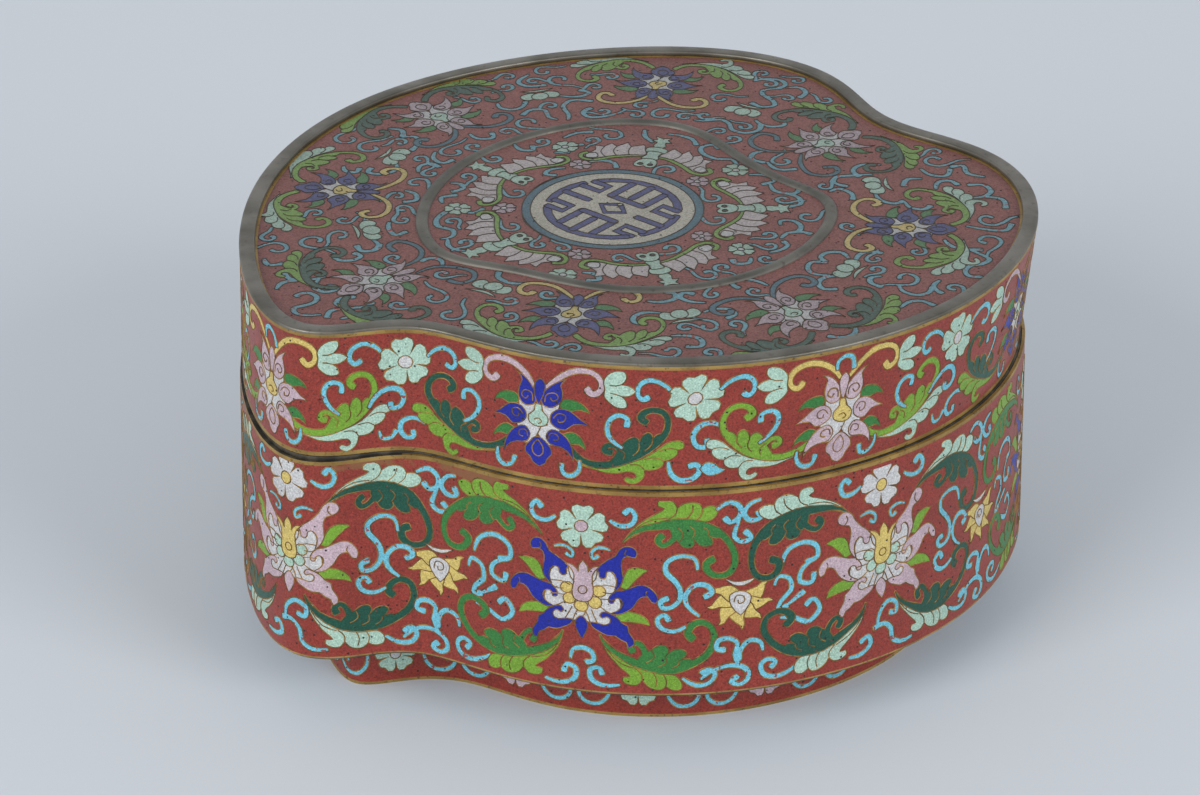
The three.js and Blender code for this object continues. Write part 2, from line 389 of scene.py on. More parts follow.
def base_unit(blue):
    """One lotus with its scrolls; the axis is x = 0 and heights are above the table."""
    d = Design()
    half = Design()
    rise = 0 if blue else 2.6
    body, tip = ("green", "lime") if blue else ("teal", "mint")
    half.place(leaf_scroll(body, tip), 12, 71 + rise * 0.6, turn=0 if blue else -8)
    half.place(leaf_scroll(body, tip), 5.6, 40 + rise * 0.4, turn=165, flip=-1)
    half.tendril((7.8, 77.6 + rise), (10.6, 76 + rise), (13.8, 76.6 + rise), (14.8, 79.4 + rise),
                 (13.2, 81.4 + rise), (11.8, 80.2 + rise))
    half.tendril((8.3, 67.8 + rise), (5, 68.4 + rise), (2.7, 66.6 + rise), (3.2, 64.8 + rise),
                 (4.6, 65.6 + rise), width=1.1)
    d.both(half)
    if blue:
        half = Design()
        half.tendril((10.6, 23.2), (5.6, 22.8), (2.2, 25), (2.2, 28.2), (4.6, 29), (5.4, 27))
        d.both(half)
        d.tendril((-3.6, 31.2), (-2.8, 34.2), (0.2, 35.4), (3, 34.2), (3.2, 31.4), (1.4, 30.6))
        d.place(blossom("mint", "mauve", 7.4), 0, 75.2)
        d.place(lotus("cobalt", "white", "mauve", "yellow"), 0, 53)
    else:
        half = Design()
        half.tendril((10.4, 23.6), (6, 23.4), (2.4, 25.6), (2, 29), (-0.6, 31.6), (-4, 31.2))
        d.place(half, 1.6)
        d.tendril((-1.4, 31), (-0.6, 36), (3, 38.8), (6, 37), (5.4, 34), (3.6, 34.4))
        d.tendril((-10.6, 23.8), (-6, 23.8), (-3.4, 26), (-4.6, 29), (-6.8, 28))
        d.place(blossom("white", "yellow", 7.2), -0.6, 78.8)
        d.place(lotus("mauve", "white", "yellow", "mint", 1.08), 0, 55.4)
    return d


def base_joint():
    """What fills the stretch between two lotuses; x = 0 is midway."""
    d = Design()
    d.place(bud(), 0, 51)
    # to the left of the bud, coming from the blue lotus
    d.tendril((-12.6, 62), (-14, 66), (-18, 66.7), (-21.2, 64.5), (-21, 61.5), (-19, 59), (-17.2, 56),
              (-17.2, 52), (-19.5, 49.7), (-22.5, 49.7), (-23, 51.5), (-21, 52.6))
    d.tendril((-12, 46.5), (-15, 50), (-15.2, 54), (-12.5, 56.8), (-9.4, 56.2), (-8.2, 54), (-9.8, 52.9))
    d.tendril((-16.2, 43), (-19.5, 41.6), (-23, 43), (-24, 46), (-22, 47.2), (-20.7, 45.6))
    # to the right
    d.tendril((12, 60), (14.6, 65.6), (19, 67), (23.4, 64.6), (23.6, 61), (20.6, 60))
    d.tendril((22, 60), (18.4, 57.4), (18, 54), (21.6, 53), (22.4, 55.4))
    d.tendril((9.8, 54.6), (10.8, 57), (14.4, 56), (15, 51.6), (12, 48.6), (11.6, 46), (13.6, 46.6))
    d.tendril((14.4, 47.2), (18.6, 50), (18.6, 50), width=1.6)
    d.tendril((12.4, 43), (16.6, 42), (20.6, 39.8), (24.2, 43.4), (21.6, 47), (19.8, 45.6))
    # above and below
    d.tendril((-6.6, 81.6), (-3.2, 83.2), (-0.4, 81.2), (-0.4, 78.2), (-3, 76.8), (-4.4, 78.2))
    d.tendril((-0.2, 77.5), (-1.2, 74.4), (-1.6, 71.8), (0.6, 70), (3.2, 71), (1.8, 73))
    d.tendril((5.4, 83), (2.8, 82.2), (1, 79), (3.2, 76.4), (5.8, 77), (5.2, 78.8))
    d.tendril((-0.4, 29.4), (-1.8, 33), (-0.8, 36.8), (-3.2, 38.6), (-6.4, 38), (-7, 35.6), (-5, 35))
    d.tendril((6.8, 33.2), (6.2, 36.2), (3.2, 37.2), (0.6, 35), (-0.4, 31.2))
    d.tendril((-11, 25.6), (-6.4, 29), (-1.4, 29.3), (1.8, 27.2), (2.2, 24.2), (-0.2, 22.4), (-2.2, 23.6),
              (-1, 25.2))
    d.tendril((-16, 26), (-12.4, 23.7), (-8.4, 24.2), (-7.2, 27), (-9, 28.8), (-10.8, 27.7))
    d.tendril((17, 26.2), (14, 24.2), (10.4, 23.2), (6.6, 25), (6, 28), (8.2, 29.6), (10.6, 28.4),
              (9.4, 26.8))
    return d


# ---------------------------------------------------------------- side of the lid

def whisker(colour):
    """Right one of the two whiskers of a lily."""
    d = Design()
    d.stroke(colour, (1.4, 1.8, 2.0, 2.0, 1.9, 1.9, 2.3), (1.6, 117.6), (4.6, 121.4), (8.4, 124),
             (12.8, 124.7), (16.2, 123.5), (17.7, 120.7), (16.9, 118.2), (14.9, 117.4), (13.5, 118.8))
    return d


def fan(colour):
    """Three joined petals beside a whisker."""
    d = Design()
    d.cell(colour, (18.2, 121.6), (19.2, 123.9), (21.4, 125.3), (24.3, 125), (24.6, 123.2), (23.2, 121.4),
           (23.2, 121.4), (25.4, 121.1), (27.6, 119.6), (27.6, 119.6), (25.6, 118), (23.1, 117.7),
           (23.1, 117.7), (24.6, 116.4), (24.9, 114.4), (22.6, 113.7), (20, 114.9), (18.2, 117.2),
           (18.5, 119.4))
    d.wire((23.2, 121.4), (21.6, 120.8), (19.9, 120.8))
    d.wire((23.1, 117.7), (21.4, 118.1), (20, 118.2))
    return d


def lily(petal, heart, low=0.0):
    """Small flower of the lid; heights are above the table."""
    d = Design()
    half = Design()
    half.cell("green", (5.6, 112.4), (6.2, 114.6), (9.4, 115), (12, 113.6), (13.6, 111.2), (13.6, 111.2),
              (11.2, 111.9), (8, 110.8))
    half.cell("green", (7, 103.2), (9.6, 104.6), (12, 103), (13.6, 99.4), (13.6, 99.4), (11.4, 101),
              (7.8, 100.8))
    half.cell("white", (0.1, 112.4), (2, 112.8), (5.6, 113.8), (5.6, 113.8), (5.4, 111), (4.2, 109),
              (5, 106.6), (6.4, 104.9), (5.4, 102.4), (5.4, 99.6), (5.4, 99.6), (3, 99.2), (0.9, 101),
              (0.1, 102.4))
    half.cell(petal, (7, 121.8), (7, 121.8), (5, 120.8), (2.8, 118.8), (0.8, 115.2), (1.2, 112.4),
              (3.5, 111.7), (5.7, 113.8), (5.9, 117.2), (5.3, 119.4))
    half.cell(petal, (13.8, 107.1), (13.8, 107.1), (11.6, 108.6), (8.4, 111.2), (5.6, 111.4), (3.7, 109.8),
              (3.6, 107.2), (5.4, 105.4), (7.8, 105), (9.8, 106.9))
    half.cell(petal, (10.1, 95.2), (10.1, 95.2), (9.6, 99.4), (7, 103.7), (4.1, 104.6), (2.5, 102.2),
              (3.5, 99.7), (6.3, 99.2), (8.2, 98.2))
    for curl in (((1.6, 113.4), (2.2, 116), (4.2, 116.4), (4.9, 114.8), (3.6, 113.8), (2.9, 114.9)),
                 ((4.4, 108.4), (5.8, 110), (7.6, 109.3), (7.3, 107.6), (5.9, 107.3), (5.7, 108.4)),
                 ((3.2, 101.4), (3.9, 103.3), (5.7, 102.9), (5.8, 101.5), (4.6, 101.1))):
        half.wire(*curl)
    d.both(half)
    d.cell(petal, (-0.8, 101.4), (-2.4, 100), (-3.8, 98), (-3.4, 95.9), (-2.1, 94.8), (-1.3, 93.2),
           (0.5, 92.1), (0.5, 92.1), (2.1, 93.3), (2.7, 94.9), (3.8, 96.3), (3.5, 98.6), (2, 100.4),
           (0.6, 101.4))
    d.wire((0, 100.6), (-1.6, 98.4), (-1.2, 96.2), (0.3, 95.3), (1.5, 96.5), (1.4, 98.6), (0, 100.6))
    d.cell(petal, (0, 120.8), (1.4, 119.2), (1.3, 116.4), (0, 112.6), (-1.3, 116.4), (-1.4, 119.2))
    d.cell(heart, (-0.8, 112.4), (0.8, 112.4), (1.1, 110.4), (2.7, 108.6), (2.6, 106.1), (0, 104.9),
           (-2.6, 106.1), (-2.7, 108.6), (-1.1, 110.4))
    d.wire((-1.2, 107.2), (0.2, 107.8), (1, 106.7), (0, 105.9))
    whole = Design()
    whole.place(d, 0, low, stretch=1.08)
    return whole


def low_scroll(body, tip):
    """Leaf scroll that runs out low and curls up and back; its foot is at x = 10."""
    d = Design()
    d.cell(tip, (12, 95), (16, 94), (20, 93), (24, 92.8), (27, 93.2), (28.9, 92.7), (29.3, 91.5),
           (28.2, 90.9), (26.9, 91.5), (26, 90.7), (27, 89.6), (29.2, 89.3), (31, 90.6), (31.6, 92.4),
           (31.6, 93.9), (31.6, 93.9), (34.6, 94.2), (36.4, 96), (36.3, 96.9), (36.3, 96.9), (38.6, 97.6),
           (39.9, 99.6), (39.7, 100.4), (39.7, 100.4), (41.4, 101.2), (41.2, 103), (39.2, 103.6),
           (36.6, 102.6), (34, 100.2), (30.4, 97.8), (25, 95.6), (20, 94.9), (16, 95.2))
    d.wire((31.6, 93.9), (30, 95.6), (27.4, 95.6))
    d.wire((36.3, 96.9), (34.2, 98), (31.2, 97.6))
    d.wire((39.7, 100.4), (37.6, 100.9), (34.8, 100))
    body += MELTING
    d.stroke(body, (2.6, 2.0, 1.7, 1.7, 2.4), (25.6, 97.6), (24, 100.6), (22.4, 101.9), (20.4, 101.6),
             (20, 100), (21.4, 99.6))
    d.cell(body, (21, 95.4), (22.6, 98.6), (23.4, 100.4), (24.2, 102.2), (25.4, 104), (27.4, 105),
           (28.8, 104), (28.9, 103), (28.9, 103), (29.6, 105.4), (31.2, 106.4), (32.6, 105), (32.6, 104.2),
           (32.6, 104.2), (34, 105.8), (35.6, 106), (35.4, 103), (31, 99.4), (27, 97))
    d.wire((23.6, 100.8), (25.4, 99.4), (25.2, 97.4))
    d.wire((28.9, 103), (29.2, 100.8), (27.8, 98.8))
    d.wire((32.6, 104.2), (32.6, 102.4), (31, 100.4))
    d.stroke(body, (2.4, 2.1, 2.2, 2.5, 2.7, 2.4, 2.1, 1.9, 1.9, 2.5), (9.6, 99.2), (12.2, 97),
             (15.6, 95.6), (20.4, 95.4), (26.4, 97.3), (31.6, 100.6), (35, 104), (36.7, 107.4),
             (36.8, 110.6), (35, 113.2), (32.2, 113.9), (29.8, 112.9), (29, 111), (30.2, 110))
    return d


def lid_unit(blue):
    d = Design()
    half = Design()
    half.place(low_scroll(*(("teal", "lime") if blue else ("lime", "mint"))), 0 if blue else -1.2, 0)
    half.tendril((24.4, 101.4), (21.6, 103.6), (19.9, 107), (20.4, 110.2), (22.8, 111.6), (25.2, 110.6),
                 (25.2, 108.6), width=1.6)
    half.tendril((37.6, 119.6), (34.4, 122.6), (31, 123.2), (28.4, 121.4), (28.2, 118.6), (29.6, 117.2),
                 (31, 117.8), width=1.6)
    half.tendril((12.8, 95.8), (12.4, 92.4), (10.2, 90.6), (7.8, 91.3), (7.2, 93.6), width=1.5)
    d.both(half)
    flank = Design()
    flank.place(whisker("mauve" if blue else "yellow"))
    flank.place(fan("mint"))
    d.both(flank)
    if blue:
        d.place(lily("cobalt", "mint"))
    else:
        d.tendril((-3, 120.6), (-3, 123.2), (-0.9, 124.7), (1.2, 123.8), (2.6, 120.4), width=1.5)
        d.place(lily("mauve", "yellow", -1.8))
    return d


def lid_joint(right):
    """What lies between two lilies, opening to the right or to the left; x = 0 is midway."""
    d = Design()
    side = Design()
    if right:
        side.tendril((9, 107.2), (5.6, 109), (1.6, 107.8), (-0.2, 104.6), (1.2, 101.6), (4.2, 101.6),
                     (4.2, 103.2), width=1.7)
        side.tendril((-6.6, 96.2), (-5.4, 92.9), (-2.5, 90.7), (0.6, 91), (2.4, 93.5), (1.6, 95.6),
                     (-0.2, 95.2), width=1.7)
        side.cell("turquoise", (2.4, 94.2), (2.4, 94.2), (4.2, 96.5), (6.6, 95.9), (7.8, 94.7), (10, 94),
                  (10, 94), (7.4, 92.4), (4.4, 92.2))
    else:
        side.tendril((-10.6, 102.8), (-8, 106.6), (-4.6, 108.6), (-0.8, 107.7), (0.3, 105), (-0.9, 102.6),
                     (-3.4, 102.2), (-3.8, 103.6), width=1.7)
        side.tendril((6.6, 97.2), (2.4, 98.7), (-0.7, 97), (-1.2, 94.1), (0.6, 91.8), (2.8, 92.4),
                     (2.6, 93.8), width=1.6)
        side.tendril((-7.4, 94.6), (-6.2, 92), (-3.8, 92.2), (-2.6, 94), width=1.3)
    d.place(side)
    d.place(blossom("mint", "white", 7.7, turn=100), 0, 117.2)
    return d


# ---------------------------------------------------------------- ring underneath

def foot_unit(colour):
    """Blossom of the ring underneath with two scrolls on its right."""
    d = Design()
    for x, flip in ((13.6, 1), (25, -1)):
        pair = Design()
        for rise, turn in ((9.6, 1), (10.4, -1)):
            scroll = Design()
            scroll.tendril((-5, 1), (-4.6, -2.6), (-1.6, -5.8), (2.2, -5.6), (4.4, -2.8), (3.2, -0.6),
                           (1.8, -1.8), width=1.4)
            pair.place(scroll, 0, rise, 180 if turn < 0 else 0, flip=turn)
        d.place(pair, x, 0, flip=flip)
    d.place(blossom(colour, "white", 6.2), 0, 10)
    return d


# ---------------------------------------------------------------- top of the lid

def top_unit(blue, whiskers):
    """Flower of the top, its heart at the origin and its whiskers towards the medallion."""
    d = Design()
    half = Design()
    half.place(low_scroll(*(("lime", "mint") if blue else ("teal", "lime"))), -4.4, -112.2, stretch=0.84)
    if whiskers:
        half.place(whisker("yellow" if blue else "steel"), 0, -107.5)
    d.both(half)
    d.place(lily("cobalt" if blue else "mauve", "yellow" if blue else "mint"), 0, -101.05, size=0.94)
    return d


def cup(colour="mint"):
    d = Design()
    half = Design()
    half.cell(colour, (0.6, -2.4), (3.4, -3), (6.2, -1.4), (6.2, 1), (4.6, 2.5), (2.4, 1.6))
    d.both(half)
    d.dot(colour, 0, 0.2, 2.8, 12)
    d.cell(colour, (-5.2, -5.2), (-5.2, -5.2), (-2.6, -3.8), (2.6, -3.8), (5.2, -5.2), (5.2, -5.2),
           (2.4, -4.9), (-2.4, -4.9))
    return d


def bat():
    """Bat with open wings; its head points along +y."""
    d = Design()
    half = Design()
    half.cell("pearl", (2, 1), (8, 3), (13, 6.4), (17.2, 9.2), (20, 7.4), (18.6, 5), (17.6, 2.4),
              (19, -0.4), (16, -0.6), (14.6, -3.4), (12.4, -1.8), (10.2, -5.4), (8.4, -2.8), (5, -5.6),
              (3.4, -2.4))
    half.cell("white", (15.4, 7.6), (18.8, 8.6), (19.4, 6.4), (16.6, 4.8))
    half.wire((7, 2.4), (8.2, 0), (8.4, -2.8))
    half.wire((10.4, 4.4), (12.4, 1.6), (12.4, -1.8))
    half.wire((13.4, 6.4), (15.6, 3.4), (15.8, -0.4))
    half.stroke("lime", (1.0, 1.5, 1.6, 1.6, 1.8), (2, 2), (7, 3.4), (12, 6.6), (15.6, 9.6), (19.4, 9.8),
                (21, 7.2), (19.6, 5.4))
    d.both(half)
    d.cell("mint", (0, -4), (2, -6.8), (1.4, -9), (3.4, -9.4), (1.8, -11), (2.8, -12.8), (0, -12),
           (-2.8, -12.8), (-1.8, -11), (-3.4, -9.4), (-1.4, -9), (-2, -6.8))
    d.cell("mint", (-3, -1.4), (0, -0.4), (3, -1.4), (3.2, -4), (0, -5.4), (-3.2, -4))
    d.cell("mint", (-2.6, 3.6), (0, 4.2), (2.6, 3.6), (1.8, 1), (2.2, -1.4), (0, -2), (-2.2, -1.4),
           (-1.8, 1))
    d.cell("mint", (-2, 4), (0, 3.4), (2, 4), (3.4, 7), (2.8, 9.6), (1, 9.8), (0, 9), (-1, 9.8),
           (-2.8, 9.6), (-3.4, 7))
    for x in (-1.5, 1.5):
        d.dot("black", x, 7.6, 0.85, 8)
    return d


def medallion_joint():
    """Two small blossoms between two bats; +y points away from the roundel."""
    d = Design()
    d.place(blossom("mauve", "white", 3.6), 0, 32.6)
    d.place(blossom("mint", "white", 4.2), 0, 46.6)
    return d


def fret():
    """Plain fret, symmetric about two axes."""
    d = Design()
    radius, step = 19.8, 12
    def bar(*points, width=2.5):
        d.cells.append(("cobalt", ribbon(points, (width, width))))
    def arc(start, end, way):
        n = max(3, int(abs(end - start) / step))
        angles = [radians(start + (end - start) * k / n) for k in range(n + 1)]
        return [(way * (radius * cos(a)), way * (radius * sin(a))) for a in angles]
    for s in (1, -1):
        bar(*arc(38, 142, s))
        bar(*arc(-24, 24, s))
        for t in (1, -1):
            bar((s * 16.4, t * 11.0), (s * 10.6, t * 11.0), (s * 10.6, t * 6.6), (s * 17.4, t * 6.6))
            bar((s * 6.2, t * 17.0), (s * 6.2, t * 6.6))
        bar((s * 18.6, 0), (s * 9.6, 0))
        bar((0, s * 18.6), (0, s * 9))
        bar((-6.2, s * 6.6), (6.2, s * 6.6))
    bar((0, 3.6), (4.6, 0), (0, -3.6), (-4.6, 0), (0, 3.6), width=1.8)
    return d


# ---------------------------------------------------------------- plan curves

def spline(pulls):
    """Closed uniform cubic B-spline through the pull of its points."""
    curve = []
    for i in range(len(pulls)):
        span = [pulls[(i + k - 1) % len(pulls)] for k in range(4)]
        for j in range(STEPS_PER_PULL):
            t = j / STEPS_PER_PULL
            weights = ((1 - t) ** 3, 3 * t ** 3 - 6 * t ** 2 + 4,
                       -3 * t ** 3 + 3 * t ** 2 + 3 * t + 1, t ** 3)
            curve.append(tuple(sum(w * p[k] for w, p in zip(weights, span)) / 6 for k in (0, 1)))
    return curve


def inset(curve, distance):
    """The curve moved inwards, square to itself."""
    moved = []
    for i, (x, y) in enumerate(curve):
        (ax, ay), (bx, by) = curve[i - 1], curve[(i + 1) % len(curve)]
        d = hypot(bx - ax, by - ay)
        moved.append((x - (by - ay) / d * distance, y + (bx - ax) / d * distance))
    return moved


def middle_of_box():
    """Place of the drawing's origin in the frame, in millimetres."""
    lowest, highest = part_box("lid_rim")
    middle = []
    for k in (0, 1):
        across = [p[k] for p in spline(PLAN)]
        middle.append((lowest[k] + highest[k]) / 2 / MM - (min(across) + max(across)) / 2)
    return middle


MIDDLE = middle_of_box()
plan, field = ([(x + MIDDLE[0], y + MIDDLE[1]) for x, y in spline(pulls)] for pulls in (PLAN, FIELD))


def about_middle(curve, factor, shift_x=0.0, shift_y=0.0):
    """The curve scaled about the drawing's origin and then moved."""
    mx, my = MIDDLE
    return [((x - mx) * factor + mx + shift_x, (y - my) * factor + my + shift_y) for x, y in curve]


lid_top_plan = inset(plan, LID_UNDER_RIM)
lid_foot_plan = about_middle(lid_top_plan, LID_TAPER, LID_LEAN_X)
base_top_plan = about_middle(plan, 1, BASE_SHIFT_X)
base_foot_plan = about_middle(plan, BASE_SPREAD, BASE_SHIFT_X)
foot_plan = inset(about_middle(base_foot_plan, FOOT_SCALE, 0, FOOT_SHIFT_Y), FOOT_INSET)


class Wall:
    """Side of the box between two plan curves; u runs round it in millimetres of its ruling curve."""

    def __init__(self, lower, low, upper, high, ruling=plan):
        self.lower, self.upper, self.low, self.high = lower, upper, low, high
        self.reach = [0.0]
        for a, b in pairs(ruling):
            self.reach.append(self.reach[-1] + apart(a, b))
        self.length = self.reach[-1]

    def knot(self, u):
        """Number of the curve's point at or before u, and the share of the way to the next one."""
        u %= self.length
        a, b = 0, len(self.reach) - 1
        while b - a > 1:
            m = (a + b) // 2
            a, b = (m, b) if self.reach[m] <= u else (a, m)
        return a, (u - self.reach[a]) / (self.reach[a + 1] - self.reach[a])

    def at(self, u, z, depth=0.0):
        """Place on the wall, depth millimetres under its surface."""
        i, f = self.knot(u)
        k = (z - self.low) / (self.high - self.low)
        def level_point(j):
            j %= len(self.lower)
            return [a * (1 - k) + b * k for a, b in zip(self.lower[j], self.upper[j])]
        before, here, there, after = (level_point(i + s) for s in (-1, 0, 1, 2))
        h1, h2, h3, h4 = hermite(f)
        x, y = (h1 * b + h2 * ((c - a) / 2) + h3 * c + h4 * ((d - b) / 2)
                for a, b, c, d in zip(before, here, there, after))
        if depth:
            dx, dy = there[0] - here[0], there[1] - here[1]
            d = hypot(dx, dy)
            x, y = x - dy / d * depth, y + dx / d * depth
        return (x, y, z)


lid_wall = Wall(lid_foot_plan, LID_FOOT, lid_top_plan, PANEL)
base_wall = Wall(base_foot_plan, FOOT_TOP, base_top_plan, BASE_TOP)
foot_wall = Wall(foot_plan, 0.0, foot_plan, FOOT_TOP, foot_plan)


# ---------------------------------------------------------------- from a drawing to a surface

# How near points have to be, in millimetres: to be one point of a shared edge, to lie on such an edge,
# to be one point of a cut drawing, and to be joined across the seam of a wall.
SAME_HEIGHT, ON_EDGE, SAME_POINT, SAME_SEAM = 0.004, 0.003, 0.002, 0.01
SHARP_ANGLE = 40


def inside(point, outline):
    x, y = point
    hit = False
    for (ax, ay), (bx, by) in pairs(outline):
        if (ay > y) != (by > y) and x < (bx - ax) * (y - ay) / (by - ay) + ax:
            hit = not hit
    return hit


def area(outline):
    """Area of an outline, positive if it runs anticlockwise."""
    return sum(ax * by - bx * ay for (ax, ay), (bx, by) in pairs(outline)) / 2


def extent(outline):
    """Left, right, low and high ends of an outline."""
    across, up = zip(*outline)
    return min(across), max(across), min(up), max(up)


class Sheet:
    """A flat drawing cut into triangles, each with the number of its topmost cell."""

    def __init__(self, design, outlines, grid=0, prefix=""):
        """Cuts the drawing sector by sector; neighbouring outlines share an upright edge."""
        self.design, self.prefix = design, prefix
        self.points, self.triangles, self.owners = [], [], []
        self.known = {}
        self.boxes = [extent(outline) for _, outline in design.cells]
        for outline in outlines:
            self.cut(outline, grid)
        self.find_edges()

    def number(self, x, y, shared):
        """Number of the point at x, y; points on a shared upright edge are kept once."""
        if shared:
            key = round(x, 2)
            step = round(y / SAME_HEIGHT)
            for s in (step, step - 1, step + 1):
                if (key, s) in self.known:
                    return self.known[key, s]
            self.known[key, step] = len(self.points)
        self.points.append((x, y))
        return len(self.points) - 1

    def cut(self, outline, grid):
        """Adds the triangles of the drawing that lie in one outline."""
        left, right, low, high = extent(outline)
        upright = len(outline) == 4
        corners, faces, ids = [], [], []
        def add(points, name):
            start = len(corners)
            if area(points) < 0:
                points = points[::-1]
            corners.extend(Vector((x - left, y)) for x, y in points)
            faces.append(list(range(start, start + len(points))))
            ids.append(name)
        add(outline, -1)
        for k, ((_, points), (start, end, _, _)) in enumerate(zip(self.design.cells, self.boxes)):
            if end > left and start < right:
                add(points, k)
        if grid:
            nx, ny = int(ceil((right - left) / grid)), int(ceil((high - low) / grid))
            for i in range(nx + 1):
                rows = [0] + [j + 0.5 * (i % 2) for j in range(1, ny)] + [ny]
                corners += [Vector(((right - left) * i / nx, low + (high - low) * row / ny)) for row in rows]
        points, _, triangles, _, _, sources = delaunay_2d_cdt(corners, [], faces, 1, SAME_POINT, True)
        numbers = {}
        for triangle, source in zip(triangles, sources):
            if 0 not in source:
                continue
            for i in triangle:
                if i not in numbers:
                    x, y = points[i][0] + left, points[i][1]
                    at_edge = upright and (abs(x - left) < ON_EDGE or abs(x - right) < ON_EDGE)
                    if at_edge:
                        x = left if abs(x - left) < ON_EDGE else right
                    numbers[i] = self.number(x, y, at_edge)
            corner = [numbers[i] for i in triangle]
            if len(set(corner)) == 3:
                self.triangles.append(corner)
                self.owners.append(ids[max(source)])

    def find_edges(self):
        """Keeps the edges between cells, where the wires stand."""
        sides = {}
        for corner, owner in zip(self.triangles, self.owners):
            for a, b in pairs(corner):
                sides.setdefault((min(a, b), max(a, b)), []).append(owner)
        self.wired = [edge for edge, owners in sides.items() if len(owners) == 2 and self.parted(*owners)]

    def parted(self, one, other):
        """Whether a wire parts two cells."""
        colours = [self.design.cells[owner][0] if owner >= 0 else "" for owner in (one, other)]
        return one != other and not (colours[0] == colours[1] and colours[0].endswith(MELTING))

    def finish(self, owner):
        return self.prefix + ("ground" if owner < 0 else self.design.cells[owner][0].rstrip(MELTING))


class Shell:
    """Points and faces of one closed piece, with a finish for each face."""

    def __init__(self):
        self.points, self.faces, self.finishes = [], [], []

    def ring(self, points):
        start = len(self.points)
        self.points += points
        return list(range(start, start + len(points)))

    def face(self, corners, finish):
        self.faces.append(corners)
        self.finishes.append(finish)

    def lay(self, sheet, place):
        """Adds a cut drawing, carried to its surface by place; returns its border loops, lowest first."""
        start = len(self.points)
        self.points += [place(x, y) for x, y in sheet.points]
        partners = seam_partners(sheet)
        sides = set()
        for corner, owner in zip(sheet.triangles, sheet.owners):
            corner = [start + partners.get(i, i) for i in corner]
            if len(set(corner)) == 3:
                self.face(corner, sheet.finish(owner))
                sides.update(pairs(corner))
        follow = {b: a for a, b in sides if (b, a) not in sides}
        loops = []
        while follow:
            loop, at = [], next(iter(follow))
            while at in follow:
                loop.append(at)
                at = follow.pop(at)
            loops.append(loop[::-1])
        return sorted(loops, key=lambda loop: sum(self.points[i][2] for i in loop) / len(loop))

    def turned(self, loop, towards):
        """The loop started at the point nearest to a place, and run anticlockwise from above."""
        if area([self.points[i][:2] for i in loop]) < 0:
            loop = loop[::-1]
        k = min(range(len(loop)), key=lambda i: apart(self.points[loop[i]], towards))
        return loop[k:] + loop[:k]

    def strip(self, lower, upper, finish):
        """Closes the gap between two loops that run the same way; lower is the outer or under one."""
        upper = self.turned(upper, self.points[lower[0]])
        def shares(loop):
            reach = [0.0]
            for a, b in pairs(loop):
                reach.append(reach[-1] + (Vector(self.points[b]) - Vector(self.points[a])).length)
            return [r / reach[-1] for r in reach]
        s, t = shares(lower), shares(upper)
        i = j = 0
        while i < len(lower) or j < len(upper):
            a, b = lower[i % len(lower)], upper[j % len(upper)]
            if j == len(upper) or (i < len(lower) and s[i + 1] + s[i] <= t[j + 1] + t[j]):
                i += 1
                self.face([a, lower[i % len(lower)], b], finish)
            else:
                j += 1
                self.face([a, upper[j % len(upper)], b], finish)

    def cap(self, loop, finish, upwards):
        self.face(loop if upwards else loop[::-1], finish)

    def build(self, name):
        """Makes the object, in metres, with its place in its mesh."""
        mesh = bpy.data.meshes.new(name)
        mesh.from_pydata([tuple(c * MM for c in p) for p in self.points], [], self.faces)
        names = sorted(set(self.finishes))
        for finish in names:
            mesh.materials.append(finishes()[finish])
        mesh.polygons.foreach_set("material_index", [names.index(f) for f in self.finishes])
        mesh.validate()
        mesh.update()
        clean(mesh)
        mesh.shade_smooth()
        mesh.set_sharp_from_angle(angle=radians(SHARP_ANGLE))
        return shown(name, mesh)


def seam_partners(sheet):
    """For each point of a band's last upright edge, the point of its first edge that it is joined to."""
    right = max(x for x, _ in sheet.points)
    first = [i for i, (x, _) in enumerate(sheet.points) if x < NO_LENGTH]
    last = [i for i, (x, _) in enumerate(sheet.points) if x > right - NO_LENGTH]
    partners = {}
    if len(first) >= 3 and len(last) >= 3:
        heights = [y for _, y in sheet.points]
        for i in last:
            j = min(first, key=lambda k: abs(heights[k] - heights[i]))
            if abs(heights[j] - heights[i]) < SAME_SEAM:
                partners[i] = j
    return partners


def clean(mesh):
    """Takes out loose points and makes sure that the faces point outwards."""
    work = bmesh.new()
    work.from_mesh(mesh)
    bmesh.ops.delete(work, geom=[v for v in work.verts if not v.link_faces], context="VERTS")
    bmesh.ops.recalc_face_normals(work, faces=work.faces)
    work.to_mesh(mesh)
    work.free()


def shown(name, mesh):
    thing = bpy.data.objects.new(name, mesh)
    bpy.context.scene.collection.objects.link(thing)
    return thing


def wire_lines(sheet, place, border):
    """Mesh of edges for the wires of a cut drawing; border tells whether a loose wire's point may stand."""
    points, edges = [], []
    numbers = {}
    for a, b in sheet.wired:
        for i in (a, b):
            if i not in numbers:
                numbers[i] = len(points)
                points.append(place(*sheet.points[i]))
        edges.append((numbers[a], numbers[b]))
    for line in sheet.design.wires:
        if all(border(x, y) for x, y in line):
            start = len(points)
            points += [place(x, y) for x, y in line]
            edges += [(start + i, start + i + 1) for i in range(len(line) - 1)]
    mesh = bpy.data.meshes.new("wire_lines")
    mesh.from_pydata([tuple(c * MM for c in p) for p in points], edges, [])
    return mesh


# ---------------------------------------------------------------- scrolls of the top

